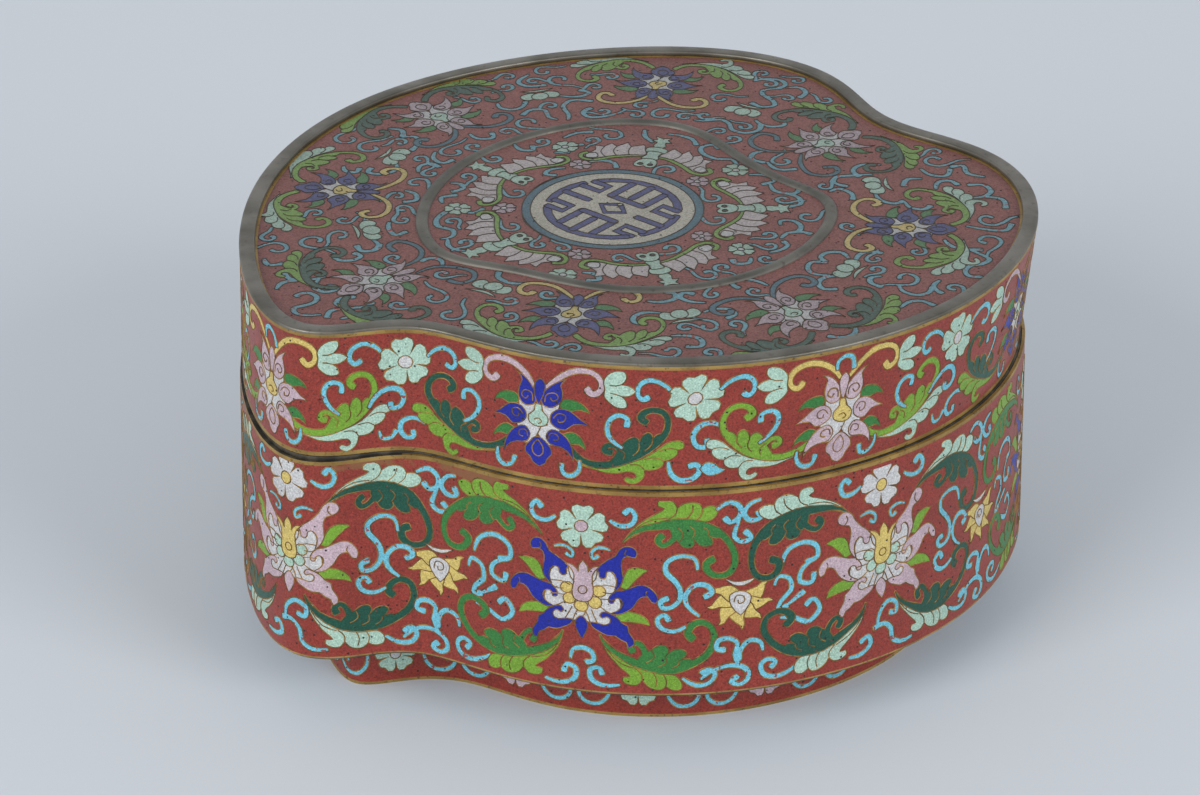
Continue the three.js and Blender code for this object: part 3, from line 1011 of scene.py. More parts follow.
# Each scroll from its root to the end of its curl, in millimetres of the frame.
TOP_TENDRILS = (
    # front left
    ((-91, -54.6), (-94, -56), (-101, -56), (-102.6, -52.3), (-99.5, -49.6), (-97.6, -50.8)),
    ((-104, -62.3), (-102.6, -58.5), (-99.5, -57)),
    ((-92.6, -56.2), (-93.4, -60.8), (-91, -63.8), (-87.6, -63), (-87.6, -60.8), (-89.5, -60.4)),
    ((-90.3, -78.5), (-95, -78.8), (-98, -77), (-98, -73.8), (-95.7, -72.7), (-92.6, -70.8), (-92.2, -67),
     (-95, -64.6), (-97.6, -66.5)),
    ((-75.7, -71.5), (-79.5, -74.2), (-84.2, -73.8), (-86, -71.2), (-85, -68), (-81.8, -67.7)),
    ((-84.2, -75), (-87.2, -76.2), (-88.4, -80)),
    ((-84.2, -81), (-81, -80), (-77.2, -79.2)),
    ((-89.5, -40.8), (-87.2, -43.8), (-82.6, -43.5), (-81, -40.8), (-83, -39.2)),
    ((-75.7, -33), (-77.2, -37), (-81, -37.7), (-83, -34.6)),
    ((-109.5, -43), (-108, -47), (-104.5, -46.5)),
    ((-57.2, -47.7), (-58, -43.8), (-61, -42.7), (-63.4, -44.6)),
    ((-32.6, -59.2), (-36.5, -59.2), (-38.8, -57.7), (-40.7, -54.6), (-40.3, -52)),
    # front and right
    ((19.2, -70.8), (14.6, -70), (12, -67), (13, -64.6), (15.4, -65)),
    ((3, -70), (7, -70.4), (10.8, -68.5), (10.4, -65), (8.5, -64.6)),
    ((37.7, -60.4), (33.8, -57), (30, -56.2), (27.7, -59.2), (29.2, -61.5)),
    ((19.2, -77), (22.3, -75), (26, -75.4), (27.7, -78.5), (25.8, -80.8)),
    ((6.5, -77.3), (1.5, -77.3), (-1.5, -80), (-1.2, -83), (1.5, -83.8)),
    ((9.2, -91.2), (13.8, -91.5), (17.7, -94.6), (17.3, -97.7), (13.8, -98)),
    ((61, -86), (60.4, -90), (57.7, -92.3), (53.8, -92)),
    ((62.3, -42.3), (60.8, -39.2), (56, -39.2), (54.2, -42.3), (55.4, -44.6)),
    ((64.2, -44.6), (65, -40.8), (67.7, -38), (71.5, -38.8)),
    ((55.4, -53.5), (50.8, -52.3), (49.6, -49.2), (50.8, -45.8), (55.4, -45.4)),
    ((58, -53.8), (53.8, -55), (52, -58.5), (53.8, -62.3), (57, -62.3)),
    ((70.8, -54.2), (67.7, -55.4), (67.3, -58.5), (70, -61.2)),
    ((75.8, -60.8), (76.2, -63.8), (79.2, -66.2), (83.8, -64.6), (85.4, -61.5)),
    ((87.7, -57), (85.8, -60.8), (87.7, -64.6)),
    ((75, -73.8), (77, -70.8), (81.5, -70), (84.2, -72.3)),
    ((98.5, -21.5), (103.8, -23.5), (110, -23.8), (112.3, -20)),
    ((91.5, -30.8), (93.8, -35.4), (101.5, -37)),
    ((97.7, -37), (101.5, -40), (103.8, -43), (100.8, -46.2), (97.7, -47), (95.4, -50.8), (96.2, -53.8),
     (99.2, -54.6)),
    # right and back right
    ((73.2, 0.8), (74.5, -4.2), (78.2, -6), (81, -4.2)),
    ((81.8, -5), (82.7, -8.3), (86.4, -9.6), (89, -7)),
    ((87.3, 11.7), (83.6, 11.3), (82.3, 6.7)),
    ((91.8, 5), (92.7, 9.5), (96.4, 10.4), (98.2, 8)),
    ((88.2, 18.5), (91, 14), (95.5, 14), (97.3, 18.5)),
    ((107.3, 13.5), (102.7, 15.8), (101.8, 21.3), (98.2, 20.4)),
    ((101, -1.5), (105.5, -1), (108.2, 3), (106.4, 7.6), (101.8, 7.6)),
    ((104.5, -1), (111, -3.3), (111.8, -8.7)),
    ((75.5, 22.2), (70, 22.2), (67.3, 18.5), (69, 14)),
    ((72.7, 15), (67.3, 14.5), (61.8, 13), (61, 9.5), (64.5, 6.7)),
    ((59, 3), (61.8, 5), (65.5, 1.3), (65.5, -2.4)),
    ((40, 86.7), (43.6, 88), (48.2, 86.7), (49.5, 82.6), (47.3, 80.4)),
    ((47.3, 80), (41.8, 78.5), (41.4, 75), (44.5, 70.4), (45, 66.7), (41.4, 65.4), (37.7, 68.5)),
    ((50, 80.4), (54.5, 80.4), (56, 76.7), (53.6, 73)),
    ((19, 55.8), (21.8, 55), (27.3, 55.8), (30, 52.2), (30.5, 48.5), (34.5, 45.4), (39, 47.6), (40, 51.3)),
    ((39, 55), (41, 51.3), (44.5, 50.4), (48.2, 52.2), (47.3, 54)),
    ((41.8, 32.2), (37.3, 30.4), (36.4, 26.7), (40, 24)),
    ((41.4, 24), (44.5, 18.5), (49.5, 18.5)),
    # back left
    ((-34.7, 91.3), (-37.5, 85), (-34.7, 82.2), (-29.3, 83)),
    ((-23.8, 74), (-18.4, 73.5), (-14.7, 76.7), (-17.5, 78.5)),
    ((-21, 55.8), (-20.6, 60.4), (-22.5, 65.8), (-20.2, 70.4), (-13.8, 70.4)),
    ((-3, 63), (-8.4, 58.5), (-14.7, 58.5), (-16, 61.7), (-13.8, 64.5)),
    ((-43.8, 68.5), (-43, 65), (-39.3, 63.5), (-35.6, 65.8), (-34.7, 69.5)),
    ((-24.7, 55.8), (-27.5, 57.6), (-28.4, 62.6), (-33, 63), (-35.6, 59.5)),
    ((-52, 45), (-49.3, 41.3), (-44.7, 41.7), (-44.7, 45)),
    ((-73, 42.2), (-69.3, 43), (-67.5, 38.5), (-69.3, 33)),
    ((-77.5, 48.5), (-73.8, 47.6), (-73, 43)),
    ((-62, 31.3), (-62, 25.8), (-59.3, 23), (-56.5, 25)),
    ((-67, 16.7), (-66.5, 21.3), (-63, 23), (-61, 20.4)),
    ((-74.3, 23), (-74.7, 17.6), (-78.4, 15.4), (-82, 16.7), (-81.5, 19.5)),
    ((-90, 20.4), (-89.3, 17.6), (-85.6, 16.7), (-85, 19)),
    ((-70, 3), (-66.5, 0.4), (-66.5, -3.3), (-70, -4.6)),
    ((-83.8, -12), (-81, -15), (-81, -19.6)),
    ((-73.8, -18.7), (-73.8, -22.4), (-71, -27), (-68.4, -25)),
    ((-78.4, -30.5), (-76.5, -33.3), (-77.5, -37)),
    # inside the moulding
    ((-37.5, 36.7), (-35.6, 33), (-32, 33), (-32, 35.8)),
    ((-22, 42.2), (-18.4, 45.8), (-13.8, 46.3)),
    ((-24.7, 31.3), (-21, 30.8), (-20.2, 35), (-16.5, 36.7)),
    ((-13.8, 24), (-10.2, 25), (-6, 23), (-5.6, 20.4)),
    ((-22, 19.5), (-27, 17.6), (-27.5, 15), (-24.7, 14)),
    ((3.6, 47.6), (3.6, 42), (5.5, 39.5)),
    ((11, 45), (14.5, 44), (18.2, 41.3), (19.5, 36.7)),
    ((31.4, 20.4), (30, 25.8), (25.5, 25.8), (21, 30.4), (21.4, 35), (25.5, 36.3), (26.4, 34)),
    ((35, 15), (40, 14), (42.3, 10.4), (39, 8)),
    ((41, 7.6), (42.7, 3), (48.2, 1.3), (50, 5)),
    ((45.5, 1.3), (49.5, -1.5), (50, -6), (46.4, -7.8)),
    ((43, -20), (43, -17.7), (47, -17.3), (48.8, -20.8), (48, -24.6)),
    ((43, -29), (44.6, -26), (48.5, -25), (51.5, -26.5)),
    ((39.2, -38.5), (43, -37), (45, -33.8), (43.8, -31.5)),
    ((33, -42.3), (32.3, -45.4), (28.5, -45.4), (28, -43.5)),
    ((-56.5, 8.5), (-53.8, 8), (-53, 5), (-55.6, 3)),
    ((-58.4, -5), (-58.8, -1.5), (-54.7, 0.4)),
    ((-53, -10.5), (-49.3, -12.4), (-46, -9.6)),
    ((-57.5, -30), (-54.7, -28.7), (-54.7, -24.2), (-59.3, -21.5), (-60, -16), (-57.5, -11.5)),
    ((-55.6, -30.5), (-54.7, -36), (-50, -38.3)),
    ((-15.7, -51.5), (-11.8, -53), (-11, -56.2), (-13.8, -56.5)),
)
TOP_WHISKERS = (
    ((-69.5, -49.2), (-64.2, -43.1), (-63.4, -37.7), (-66.5, -33.1), (-71, -31.2), (-73.4, -33.8),
     (-71.8, -37.7)),
    ((-64.2, -52.3), (-59.5, -48.5), (-52.6, -48.5), (-48, -51.5), (-48, -56.2), (-51, -58.5),
     (-54.5, -57)),
    ((50, 32.2), (41.8, 32.2), (37.3, 35.8), (36.4, 41.3), (40, 45), (44.5, 43), (44.5, 40.4)),
    ((51.8, 29.5), (51.8, 20.4), (54.5, 15), (59, 14), (62.7, 17.6), (61.8, 20.4), (59, 20)),
)


# ---------------------------------------------------------------- layout of the drawings

# Axes of the flowers that face the front, along the ruling curve; the others stand evenly between them.
LID_AXES = (458.5, 543.0, 631.8, 716.0)
BASE_AXES = (466.0, 556.5, 647.1, 735.0)
FLOWERS = 8
FOOT_FLOWERS, FOOT_FIRST, FOOT_BAND = 16, 17.4, 1.0
# Half the distance between two flowers that their scrolls are drawn for, and the reach of a scroll.
LID_HALF, BASE_HALF, SCROLL_REACH = 44.2, 45.3, 60.0

ROUNDEL = (-7.0, -9.1)
ROUNDEL_EDGE, ROUNDEL_FIELD, FRET_TURN = 27.5, 24.9, -40
BATS, BAT_DISTANCE = 5, 41
TOP_BLUE = ((8, 84), (-90, 4), (-19, -78), (81, -22))
TOP_MAUVE = ((-62, 58), (60, 38), (-75, -57), (44, -77))
LONG_WHISKERED = ((60, 38), (-75, -57))
TOP_CUPS = ((-30, 74), (35, 62), (73, 7), (61, -49), (12, -78), (-42, -61), (-79, -24), (-74, 28))

# Small curls of the top: their sizes, the step between the places that are tried, the share of it
# between two rows, how far out the places go, the room that a curl keeps from cells, from the rim,
# from the moulding and from another curl, and the turn from one curl to the next.
CURL_SIZES = (4.6, 3.8, 2.8)
TRY_STEP, TRY_RISE, TRY_WIDTH, TRY_HEIGHT = 1.9, 0.87, 135, 120
CELL_ROOM, RIM_ROOM, MOULDING_ROOM, CURL_ROOM = 0.35, 1.6, 2.6, 0.6
NEXT_TURN = 137.5
# Side of the squares that the points near a place are looked up in.
SQUARE = 4


def axes_round(seen, length):
    """Places of the eight flowers: the front ones as set, the others evenly between them."""
    hidden = FLOWERS - len(seen)
    gap = (seen[0] + length - seen[-1]) / (hidden + 1)
    return list(seen) + [seen[-1] + gap * k for k in range(1, hidden + 1)]


def bent(design, rule):
    """Copy of a design with every point moved by a rule."""
    out = Design()
    out.cells = [(colour, [rule(*p) for p in outline]) for colour, outline in design.cells]
    out.wires = [[rule(*p) for p in line] for line in design.wires]
    return out


def by_hand(x, y):
    """Small wander that keeps repeats from being exact; it comes round again after one lap of the box."""
    lap = 2 * pi * x / lid_wall.length
    return (x + 0.3 * sin(15 * lap + 0.21 * y) + 0.14 * sin(48 * lap - 0.3 * y),
            y + 0.26 * sin(20 * lap - 0.11 * y + 1) + 0.12 * sin(43 * lap + 0.4 * y))


def frieze(seen, length, half, units, joints):
    """Flowers and what lies between them, in turn, all the way round a wall."""
    axes = axes_round(seen, length)
    design = Design()
    for turn in (-length * 2, -length, 0):
        for k, axis in enumerate(axes):
            here = axis + turn
            if not -SCROLL_REACH < here < length + SCROLL_REACH:
                continue
            left = here - (axes[k - 1] if k else axes[-1] - length) - turn
            right = (axes[k + 1] if k + 1 < FLOWERS else axes[0] + length) + turn - here
            scale = (left / 2 / half, right / 2 / half)
            design.place(bent(units[k % 2], lambda x, y: (here + x * scale[x > 0], y)))
            design.place(bent(joints[k % 2], lambda x, y: (here + right / 2 + x * scale[1], y)))
    return bent(design, by_hand)


def sectors(length, low, high, count=FLOWERS):
    """Upright strips of a band, side by side."""
    step = length / count
    return [[(k * step, low), ((k + 1) * step, low), ((k + 1) * step, high), (k * step, high)]
            for k in range(count)]


def towards_roundel(x, y):
    return degrees(atan2(ROUNDEL[1] - y, ROUNDEL[0] - x)) - 90


def clear(place, outline, room):
    """Whether a place keeps its distance from the points of an outline."""
    return all(apart(place, p) > room for p in outline)


def fill_with_curls(design, border, moulding, reach):
    """Curls for the free places between the cells of the top."""
    taken = {}
    def note(points):
        for x, y in points:
            taken.setdefault((int(x // SQUARE), int(y // SQUARE)), []).append((x, y))
    def near(x, y):
        i, j = int(x // SQUARE), int(y // SQUARE)
        return (p for m in range(i - 2, i + 3) for n in range(j - 2, j + 3) for p in taken.get((m, n), ()))
    for _, points in design.cells:
        note(points)
    boxes = [(*extent(outline), outline) for _, outline in design.cells]
    added = Design()
    columns, rows = int(TRY_WIDTH / TRY_STEP), int(TRY_HEIGHT / TRY_STEP)
    for j in range(-rows, rows):
        for i in range(-columns, columns):
            x, y = (i + 0.5 * (j % 2)) * TRY_STEP, j * TRY_STEP * TRY_RISE
            x, y = x + 0.5 * sin(7 * i + 3 * j), y + 0.5 * sin(5 * i - 4 * j)
            if not (inside((x, y), border) and clear((x, y), border, reach + RIM_ROOM)
                    and clear((x, y), moulding, reach + MOULDING_ROOM)
                    and clear((x, y), near(x, y), reach + CELL_ROOM)):
                continue
            if any(a < x < b and c < y < d and inside((x, y), outline) for a, b, c, d, outline in boxes):
                continue
            added.curl(x, y, NEXT_TURN * (i + 3 * j), reach, 1 if (i + j) % 2 else -1)
            note(circle(x, y, reach + CURL_ROOM, 14))
    return added


def top_drawing():
    design = Design()
    for points in TOP_TENDRILS:
        design.tendril(*points, width=1.75)
    for points in TOP_WHISKERS:
        design.stroke("steel", (0.9, 1.6, 1.8, 1.8, 1.8, 2.0), *points)
    for x, y in TOP_CUPS:
        design.place(cup(), x, y, towards_roundel(x, y))
    for places, blue in ((TOP_BLUE, True), (TOP_MAUVE, False)):
        for x, y in places:
            design.place(top_unit(blue, (x, y) not in LONG_WHISKERED), x, y, towards_roundel(x, y))
    for k in range(BATS):
        a = 360 / BATS * k
        design.place(bat(), ROUNDEL[0] + BAT_DISTANCE * cos(radians(a)),
                     ROUNDEL[1] + BAT_DISTANCE * sin(radians(a)), a + 90)
        design.place(medallion_joint(), *ROUNDEL, a + 180 / BATS - 90)
    design.dot("steel", *ROUNDEL, ROUNDEL_EDGE, 60)
    for reach in CURL_SIZES:
        under = fill_with_curls(design, inset(plan, RIM_WIDTH), field, reach)
        under.place(design)
        design = under
    design = bent(design, by_hand)
    design.dot("steel", *ROUNDEL, ROUNDEL_EDGE, 60)
    design.dot("ivory", *ROUNDEL, ROUNDEL_FIELD, 60)
    design.place(fret(), *ROUNDEL, FRET_TURN)
    return design


# ---------------------------------------------------------------- finishes

class Signal:
    """A node's output that can stand in sums; each sign adds its Math node."""

    def __init__(self, finish, socket):
        self.finish, self.socket = finish, socket

    def sign(self, operation, first, second):
        node = self.finish.node("ShaderNodeMath", {"operation": operation}, {0: first, 1: second})
        return Signal(self.finish, node.outputs[0])

    def __add__(self, other):
        return self.sign("ADD", self, other)

    def __radd__(self, other):
        return self.sign("ADD", other, self)

    def __sub__(self, other):
        return self.sign("SUBTRACT", self, other)

    def __rsub__(self, other):
        return self.sign("SUBTRACT", other, self)

    def __mul__(self, other):
        return self.sign("MULTIPLY", self, other)

    def __rmul__(self, other):
        return self.sign("MULTIPLY", other, self)

    def between(self, low, high):
        """0 below low, 1 above high, and smooth between them."""
        node = self.finish.node("ShaderNodeMapRange", {"interpolation_type": "SMOOTHSTEP"},
                                {"Value": self, "From Min": low, "From Max": high})
        return Signal(self.finish, node.outputs["Result"])


class Finish:
    """A material with one Principled shader, and the nodes that feed it."""

    def __init__(self, name, **steady):
        self.material = bpy.data.materials.new(name)
        self.material.use_nodes = True
        self.tree = self.material.node_tree
        self.shader = self.tree.nodes["Principled BSDF"]
        self.coordinates = self.node("ShaderNodeTexCoord").outputs["Object"]
        for socket, value in steady.items():
            self.shader.inputs[socket.replace("_", " ")].default_value = value

    def node(self, kind, settings=None, sockets=None):
        node = self.tree.nodes.new(kind)
        for name, value in (settings or {}).items():
            setattr(node, name, value)
        for name, value in (sockets or {}).items():
            self.join(node.inputs[name], value)
        return node

    def join(self, socket, value):
        if isinstance(value, Signal):
            value = value.socket
        if isinstance(value, bpy.types.NodeSocket):
            self.tree.links.new(value, socket)
        else:
            socket.default_value = value

    def moved(self, x, y, z):
        """The object's coordinates, moved so that two patterns don't fall together."""
        node = self.node("ShaderNodeVectorMath", {"operation": "ADD"}, {0: self.coordinates, 1: (x, y, z)})
        return node.outputs[0]

    def noise(self, scale, detail=3.0, shift=0.0):
        node = self.node("ShaderNodeTexNoise", {}, {
            "Vector": self.moved(shift, shift * 0.7, -shift), "Scale": scale, "Detail": detail})
        return Signal(self, node.outputs["Fac"])

    def patches(self, scale, detail, shift, low, high):
        """Noise with everything under low made 0 and everything over high made 1."""
        return self.noise(scale, detail, shift).between(low, high)

    def cells(self, scale, shift=0.0):
        """Distance from the nearest scattered point, and a chance number for that point."""
        node = self.node("ShaderNodeTexVoronoi", {}, {
            "Vector": self.moved(shift, -shift, shift), "Scale": scale})
        chance = self.node("ShaderNodeSeparateColor", {}, {"Color": node.outputs["Color"]})
        return Signal(self, node.outputs["Distance"]), Signal(self, chance.outputs["Red"])

    def mix(self, factor, first, second):
        node = self.node("ShaderNodeMix", {"data_type": "RGBA"}, {"Factor": factor, 6: first, 7: second})
        return node.outputs[2]

    def bump(self, height, strength, distance):
        node = self.node("ShaderNodeBump", {}, {"Height": height, "Strength": strength, "Distance": distance})
        self.join(self.shader.inputs["Normal"], node.outputs["Normal"])

    def feed(self, socket, value):
        self.join(self.shader.inputs[socket], value)


def tone(red, green, blue):
    """Linear colour from screen values of 0 to 255."""
    def linear(v):
        v /= 255
        return v / 12.92 if v <= 0.04045 else ((v + 0.055) / 1.055) ** 2.4
    return tuple(linear(v) for v in (red, green, blue)) + (1.0,)


def scaled(colour, factor, rise=0.0, most=1.0):
    """A linear colour made darker or paler."""
    return tuple(min(c * factor + rise, most) for c in colour[:3]) + (1.0,)


# Screen colour of each enamel.
ENAMELS = {
    "ground": (129, 43, 31),
    "turquoise": (100, 174, 195),
    "mint": (155, 185, 171),
    "lime": (105, 146, 38),
    "green": (41, 108, 45),
    "teal": (2, 68, 52),
    "cobalt": (0, 22, 138),
    "mauve": (174, 154, 165),
    "white": (181, 182, 184),
    "pearl": (178, 168, 169),
    "ivory": (176, 172, 158),
    "yellow": (190, 170, 96),
    "steel": (44, 92, 112),
    "black": (20, 18, 22),
    "counter": (78, 134, 150),
}
# How much of an enamel has flaked off, and how far the top's enamels are greyed by a painted reflection and
# darkened by painted shade.
FLAKED = {"turquoise": 0.42, "teal": 0.15}
PAINTED_SHEEN_TONE, TOP_SHADE_SHEEN, MORE_SHADE_SHEEN = (92, 93, 91), 0.42, {"turquoise": 0.56, "cobalt": 0.6, "mauve": 0.5}
# How much the painted shade darkens the top's enamels, and how much rougher they are made
PAINTED_SHADE_LOSS, DULLED_ROUGHNESS = 1.15, 0.5

# Patterns in the enamel: scale, detail, shift, and the noise where each starts and where it is full.
CLOUDS = (90, 4, 0.0, 0.25, 0.6)
PALE_GRAIN = (2300, 2, 0.3, 0.45, 0.7)
DARK_GRAIN = (1700, 2, 0.7, 0.48, 0.68)
FLAKES_FROM, FLAKES_FULL, FLAKES_SPREAD = 0.71, 0.74, 0.2
PITS, PIT_SIZE, PIT_CHANCE, PIT_COLOUR = (400, 0.2), (0.1, 0.18), (0.55, 0.57), (22, 16, 16)
# The brown wear under the seam: its levels and its end towards the right, in metres, and its colour.
WEAR_FOOT, WEAR_TOP, WEAR_SOFT, WEAR_SHARP = 0.0795, 0.0862, 0.002, 0.0003
WEAR_FULL_X, WEAR_END_X, WEAR_COLOUR = -0.05, 0.03, (118, 84, 50)


def worn_band(f):
    """1 on the band of wear under the seam at the front left, and 0 elsewhere."""
    at = f.node("ShaderNodeSeparateXYZ", {}, {"Vector": f.coordinates})
    x, z = Signal(f, at.outputs["X"]), Signal(f, at.outputs["Z"])
    above_foot = z.between(WEAR_FOOT, WEAR_TOP - WEAR_SOFT)
    below_top = 1 - z.between(WEAR_TOP, WEAR_TOP + WEAR_SHARP)
    return above_foot * below_top * (1 - x.between(WEAR_FULL_X, WEAR_END_X))


def enamel(name, shade_sheen=0.0):
    """Glassy enamel with fine grain and pits; its second argument is how far a painted reflection greys it
    and painted shade darkens it, and how far it is roughened.
    """
    f = Finish("enamel_" + name + ("_dull" if shade_sheen else ""), Specular_IOR_Level=0.5)
    clean_tone, sheen_tone = tone(*ENAMELS[name]), tone(*PAINTED_SHEEN_TONE)
    # Painted reflection and painted shade: the colour is mixed towards a grey reflection tone and made darker
    base = tuple(c * (1 - PAINTED_SHADE_LOSS * shade_sheen) + h * shade_sheen for c, h in zip(clean_tone[:3], sheen_tone)) + (1.0,)
    body = f.mix(f.patches(*CLOUDS), scaled(base, 0.8), base)
    body = f.mix(f.patches(*PALE_GRAIN) * 0.8, body, scaled(base, 1.4, 0.012, 0.8))
    body = f.mix(f.patches(*DARK_GRAIN) * 0.9, body, scaled(base, 0.5 if name == "ground" else 0.68))
    if name in FLAKED:
        spread = FLAKES_SPREAD * FLAKED[name]
        bare = f.noise(620, 4, 0.9).between(FLAKES_FROM - spread, FLAKES_FULL - spread)
        body = f.mix(bare * 0.9, body, tone(*ENAMELS["ground"]))
    if name == "ground" and not shade_sheen:
        worn = (worn_band(f) * f.noise(110, 4, 1.3)).between(0.42, 0.56)
        body = f.mix(worn * 0.75, body, tone(*WEAR_COLOUR))
    near, chance = f.cells(*PITS)
    pit = (1 - near.between(*PIT_SIZE)) * chance.between(*PIT_CHANCE)
    f.feed("Base Color", f.mix(pit, body, tone(*PIT_COLOUR)))
    f.feed("Roughness", 0.28 + DULLED_ROUGHNESS * shade_sheen + f.noise(240, 3, 0.5) * 0.2 + pit * 0.3)
    f.bump(f.noise(420, 3, 0.1) - pit * 1.5, 0.12, 0.0004)
    return f.material


def metal(name, metallic, clouds, low, high, specks=None, rough=(0.4, 0.2), rough_noise=(300, 3), dents=None):
    """Worn metal in clouds between a low and a high colour.

    Specks are their patches, how much they cover and their colour. Rough is the least roughness and how
    much its noise adds to it. Dents are the strength of their bump.
    """
    f = Finish(name, Metallic=metallic)
    body = f.mix(f.patches(*clouds), tone(*low), tone(*high))
    if specks:
        where, cover, colour = specks
        body = f.mix(f.patches(*where) * cover, body, tone(*colour))
    f.feed("Base Color", body)
    f.feed("Roughness", rough[0] + f.noise(*rough_noise) * rough[1])
    if dents:
        f.bump(f.noise(350, 5, 0.8), dents, 0.0003)
    return f.material


WIRE_CLOUDS, WIRE_SPECKS = (160, 4, 0.0, 0.35, 0.7), (700, 3, 0.4, 0.52, 0.72)
BRONZE_CLOUDS, BRONZE_SPECKS = (60, 5, 0.0, 0.3, 0.7), (500, 4, 0.6, 0.55, 0.8)


def metals():
    """Every metal of the box, by the name of its finish."""
    return {
        "gilt": metal("gilt_wire", 0.4, WIRE_CLOUDS, (98, 74, 36), (150, 114, 54),
                      (WIRE_SPECKS, 0.7, (56, 42, 26))),
        # Darker, greyer gilt for the top's wires: painted shade and a painted reflection, like the top's
        # enamels
        "dull_gilt": metal("gilt_wire_shade_sheen", 0.4, WIRE_CLOUDS, (50, 44, 36), (76, 66, 50),
                           (WIRE_SPECKS, 0.7, (40, 36, 32))),
        "gilt_edge": metal("gilt_edge", 0.3, (110, 4, 0.0, 0.3, 0.7), (126, 100, 50), (160, 132, 72),
                           ((900, 3, 0.4, 0.55, 0.75), 0.8, (70, 52, 30))),
        "bronze": metal("rubbed_bronze", 0.65, BRONZE_CLOUDS, (84, 81, 72), (116, 113, 105),
                        (BRONZE_SPECKS, 0.6, (66, 60, 52)), (0.3, 0.24), (180, 4, 0.2), 0.15),
        "dark_bronze": metal("worn_bronze", 0.6, BRONZE_CLOUDS, (84, 83, 78), (110, 108, 101),
                             (BRONZE_SPECKS, 0.6, (52, 48, 42)), (0.42, 0.24), (180, 4, 0.2), 0.15),
        "tarnish": metal("tarnished_bronze", 0.3, (220, 4, 0.0, 0.4, 0.7), (44, 42, 38), (84, 78, 66),
                         rough=(0.5, 0.2)),
    }


FINISHES = {}


def finishes():
    """Every finish by its name, made when the first is asked for."""
    if not FINISHES:
        for name in ENAMELS:
            FINISHES[name] = enamel(name)
            # A copy of each enamel for the top, greyed by a painted reflection and darkened by painted shade
            FINISHES["dull_" + name] = enamel(name, MORE_SHADE_SHEEN.get(name, TOP_SHADE_SHEEN))
        FINISHES.update(metals())
    return FINISHES


# ---------------------------------------------------------------- geometry nodes

WIRE_SIDES = 4


def wire_tree():
    """Node tree that lays a round wire along every line of edges."""
    if "cloison_wire" in bpy.data.node_groups:
        return bpy.data.node_groups["cloison_wire"]
    tree = bpy.data.node_groups.new("cloison_wire", "GeometryNodeTree")
    def socket(name, way, kind):
        return tree.interface.new_socket(name, in_out=way, socket_type="NodeSocket" + kind)
    socket("Lines", "INPUT", "Geometry")
    socket("Wire Radius", "INPUT", "Float").default_value = 0.2 * MM
    socket("Sides", "INPUT", "Int").default_value = WIRE_SIDES
    socket("Finish", "INPUT", "Material")
    socket("Wires", "OUTPUT", "Geometry")
    put = tree.nodes.new
    given, result = put("NodeGroupInput"), put("NodeGroupOutput")
    curve, ring = put("GeometryNodeMeshToCurve"), put("GeometryNodeCurvePrimitiveCircle")
    sweep, soft = put("GeometryNodeCurveToMesh"), put("GeometryNodeSetShadeSmooth")
    real, paint = put("GeometryNodeRealizeInstances"), put("GeometryNodeSetMaterial")
    sweep.inputs["Fill Caps"].default_value = True
    for source, output, target, entry in ((given, "Lines", curve, "Mesh"),
                                          (given, "Wire Radius", ring, "Radius"),
                                          (given, "Sides", ring, "Resolution"),
                                          (curve, "Curve", sweep, "Curve"),
                                          (ring, "Curve", sweep, "Profile Curve"),
                                          (sweep, "Mesh", soft, "Geometry"),
                                          (soft, "Geometry", real, "Geometry"),
                                          (real, "Geometry", paint, "Geometry"),
                                          (given, "Finish", paint, "Material"),
                                          (paint, "Geometry", result, "Wires")):
        tree.links.new(source.outputs[output], target.inputs[entry])
    return tree


def through_tree(name, mesh, tree, values):
    """Runs a mesh through a node tree and keeps the result as a plain mesh."""
    rough = shown(name + "_lines", mesh)
    modifier = rough.modifiers.new("Nodes", "NODES")
    modifier.node_group = tree
    for item in tree.interface.items_tree:
        if item.item_type == "SOCKET" and item.in_out == "INPUT" and item.name in values:
            modifier[item.identifier] = values[item.name]
    bpy.context.view_layer.update()
    graph = bpy.context.evaluated_depsgraph_get()
    result = bpy.data.meshes.new_from_object(rough.evaluated_get(graph))
    result.name = name
    bpy.data.objects.remove(rough)
    return shown(name, result)


# ---------------------------------------------------------------- the pieces

def raised(curve, z):
    return [(x, y, z) for x, y in curve]


def belongs(thing, material_slot, *nodes):
    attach(thing, "root")
    if nodes:
        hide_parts(*nodes)


def wire_a_sheet(name, sheet, place, border, settings, finish="gilt"):
    """Makes the wires of one cut drawing."""
    values = {"Wire Radius": settings.wire_radius, "Sides": WIRE_SIDES, "Finish": finishes()[finish]}
    belongs(through_tree(name, wire_lines(sheet, place, border), wire_tree(), values), "enamel")


def wire_a_wall(name, sheet, wall, low, high, settings):
    """Makes the wires of a wall, each just sunk in its surface, between two levels."""
    sink = settings.wire_sink / MM
    wire_a_sheet(name, sheet, lambda u, z: wall.at(u, z, sink),
                 lambda u, z: low + WIRE_MARGIN < z < high - WIRE_MARGIN and 0 <= u <= wall.length, settings)


def closed_seam(i):
    """How nearly the lid's edge meets the base at a point of the plan; the seam gapes at the front left."""
    share = i / len(plan)
    away = min(abs(share - GAPING), 1 - abs(share - GAPING))
    return 1 - exp(-(away / GAPING_WIDTH) ** 2)


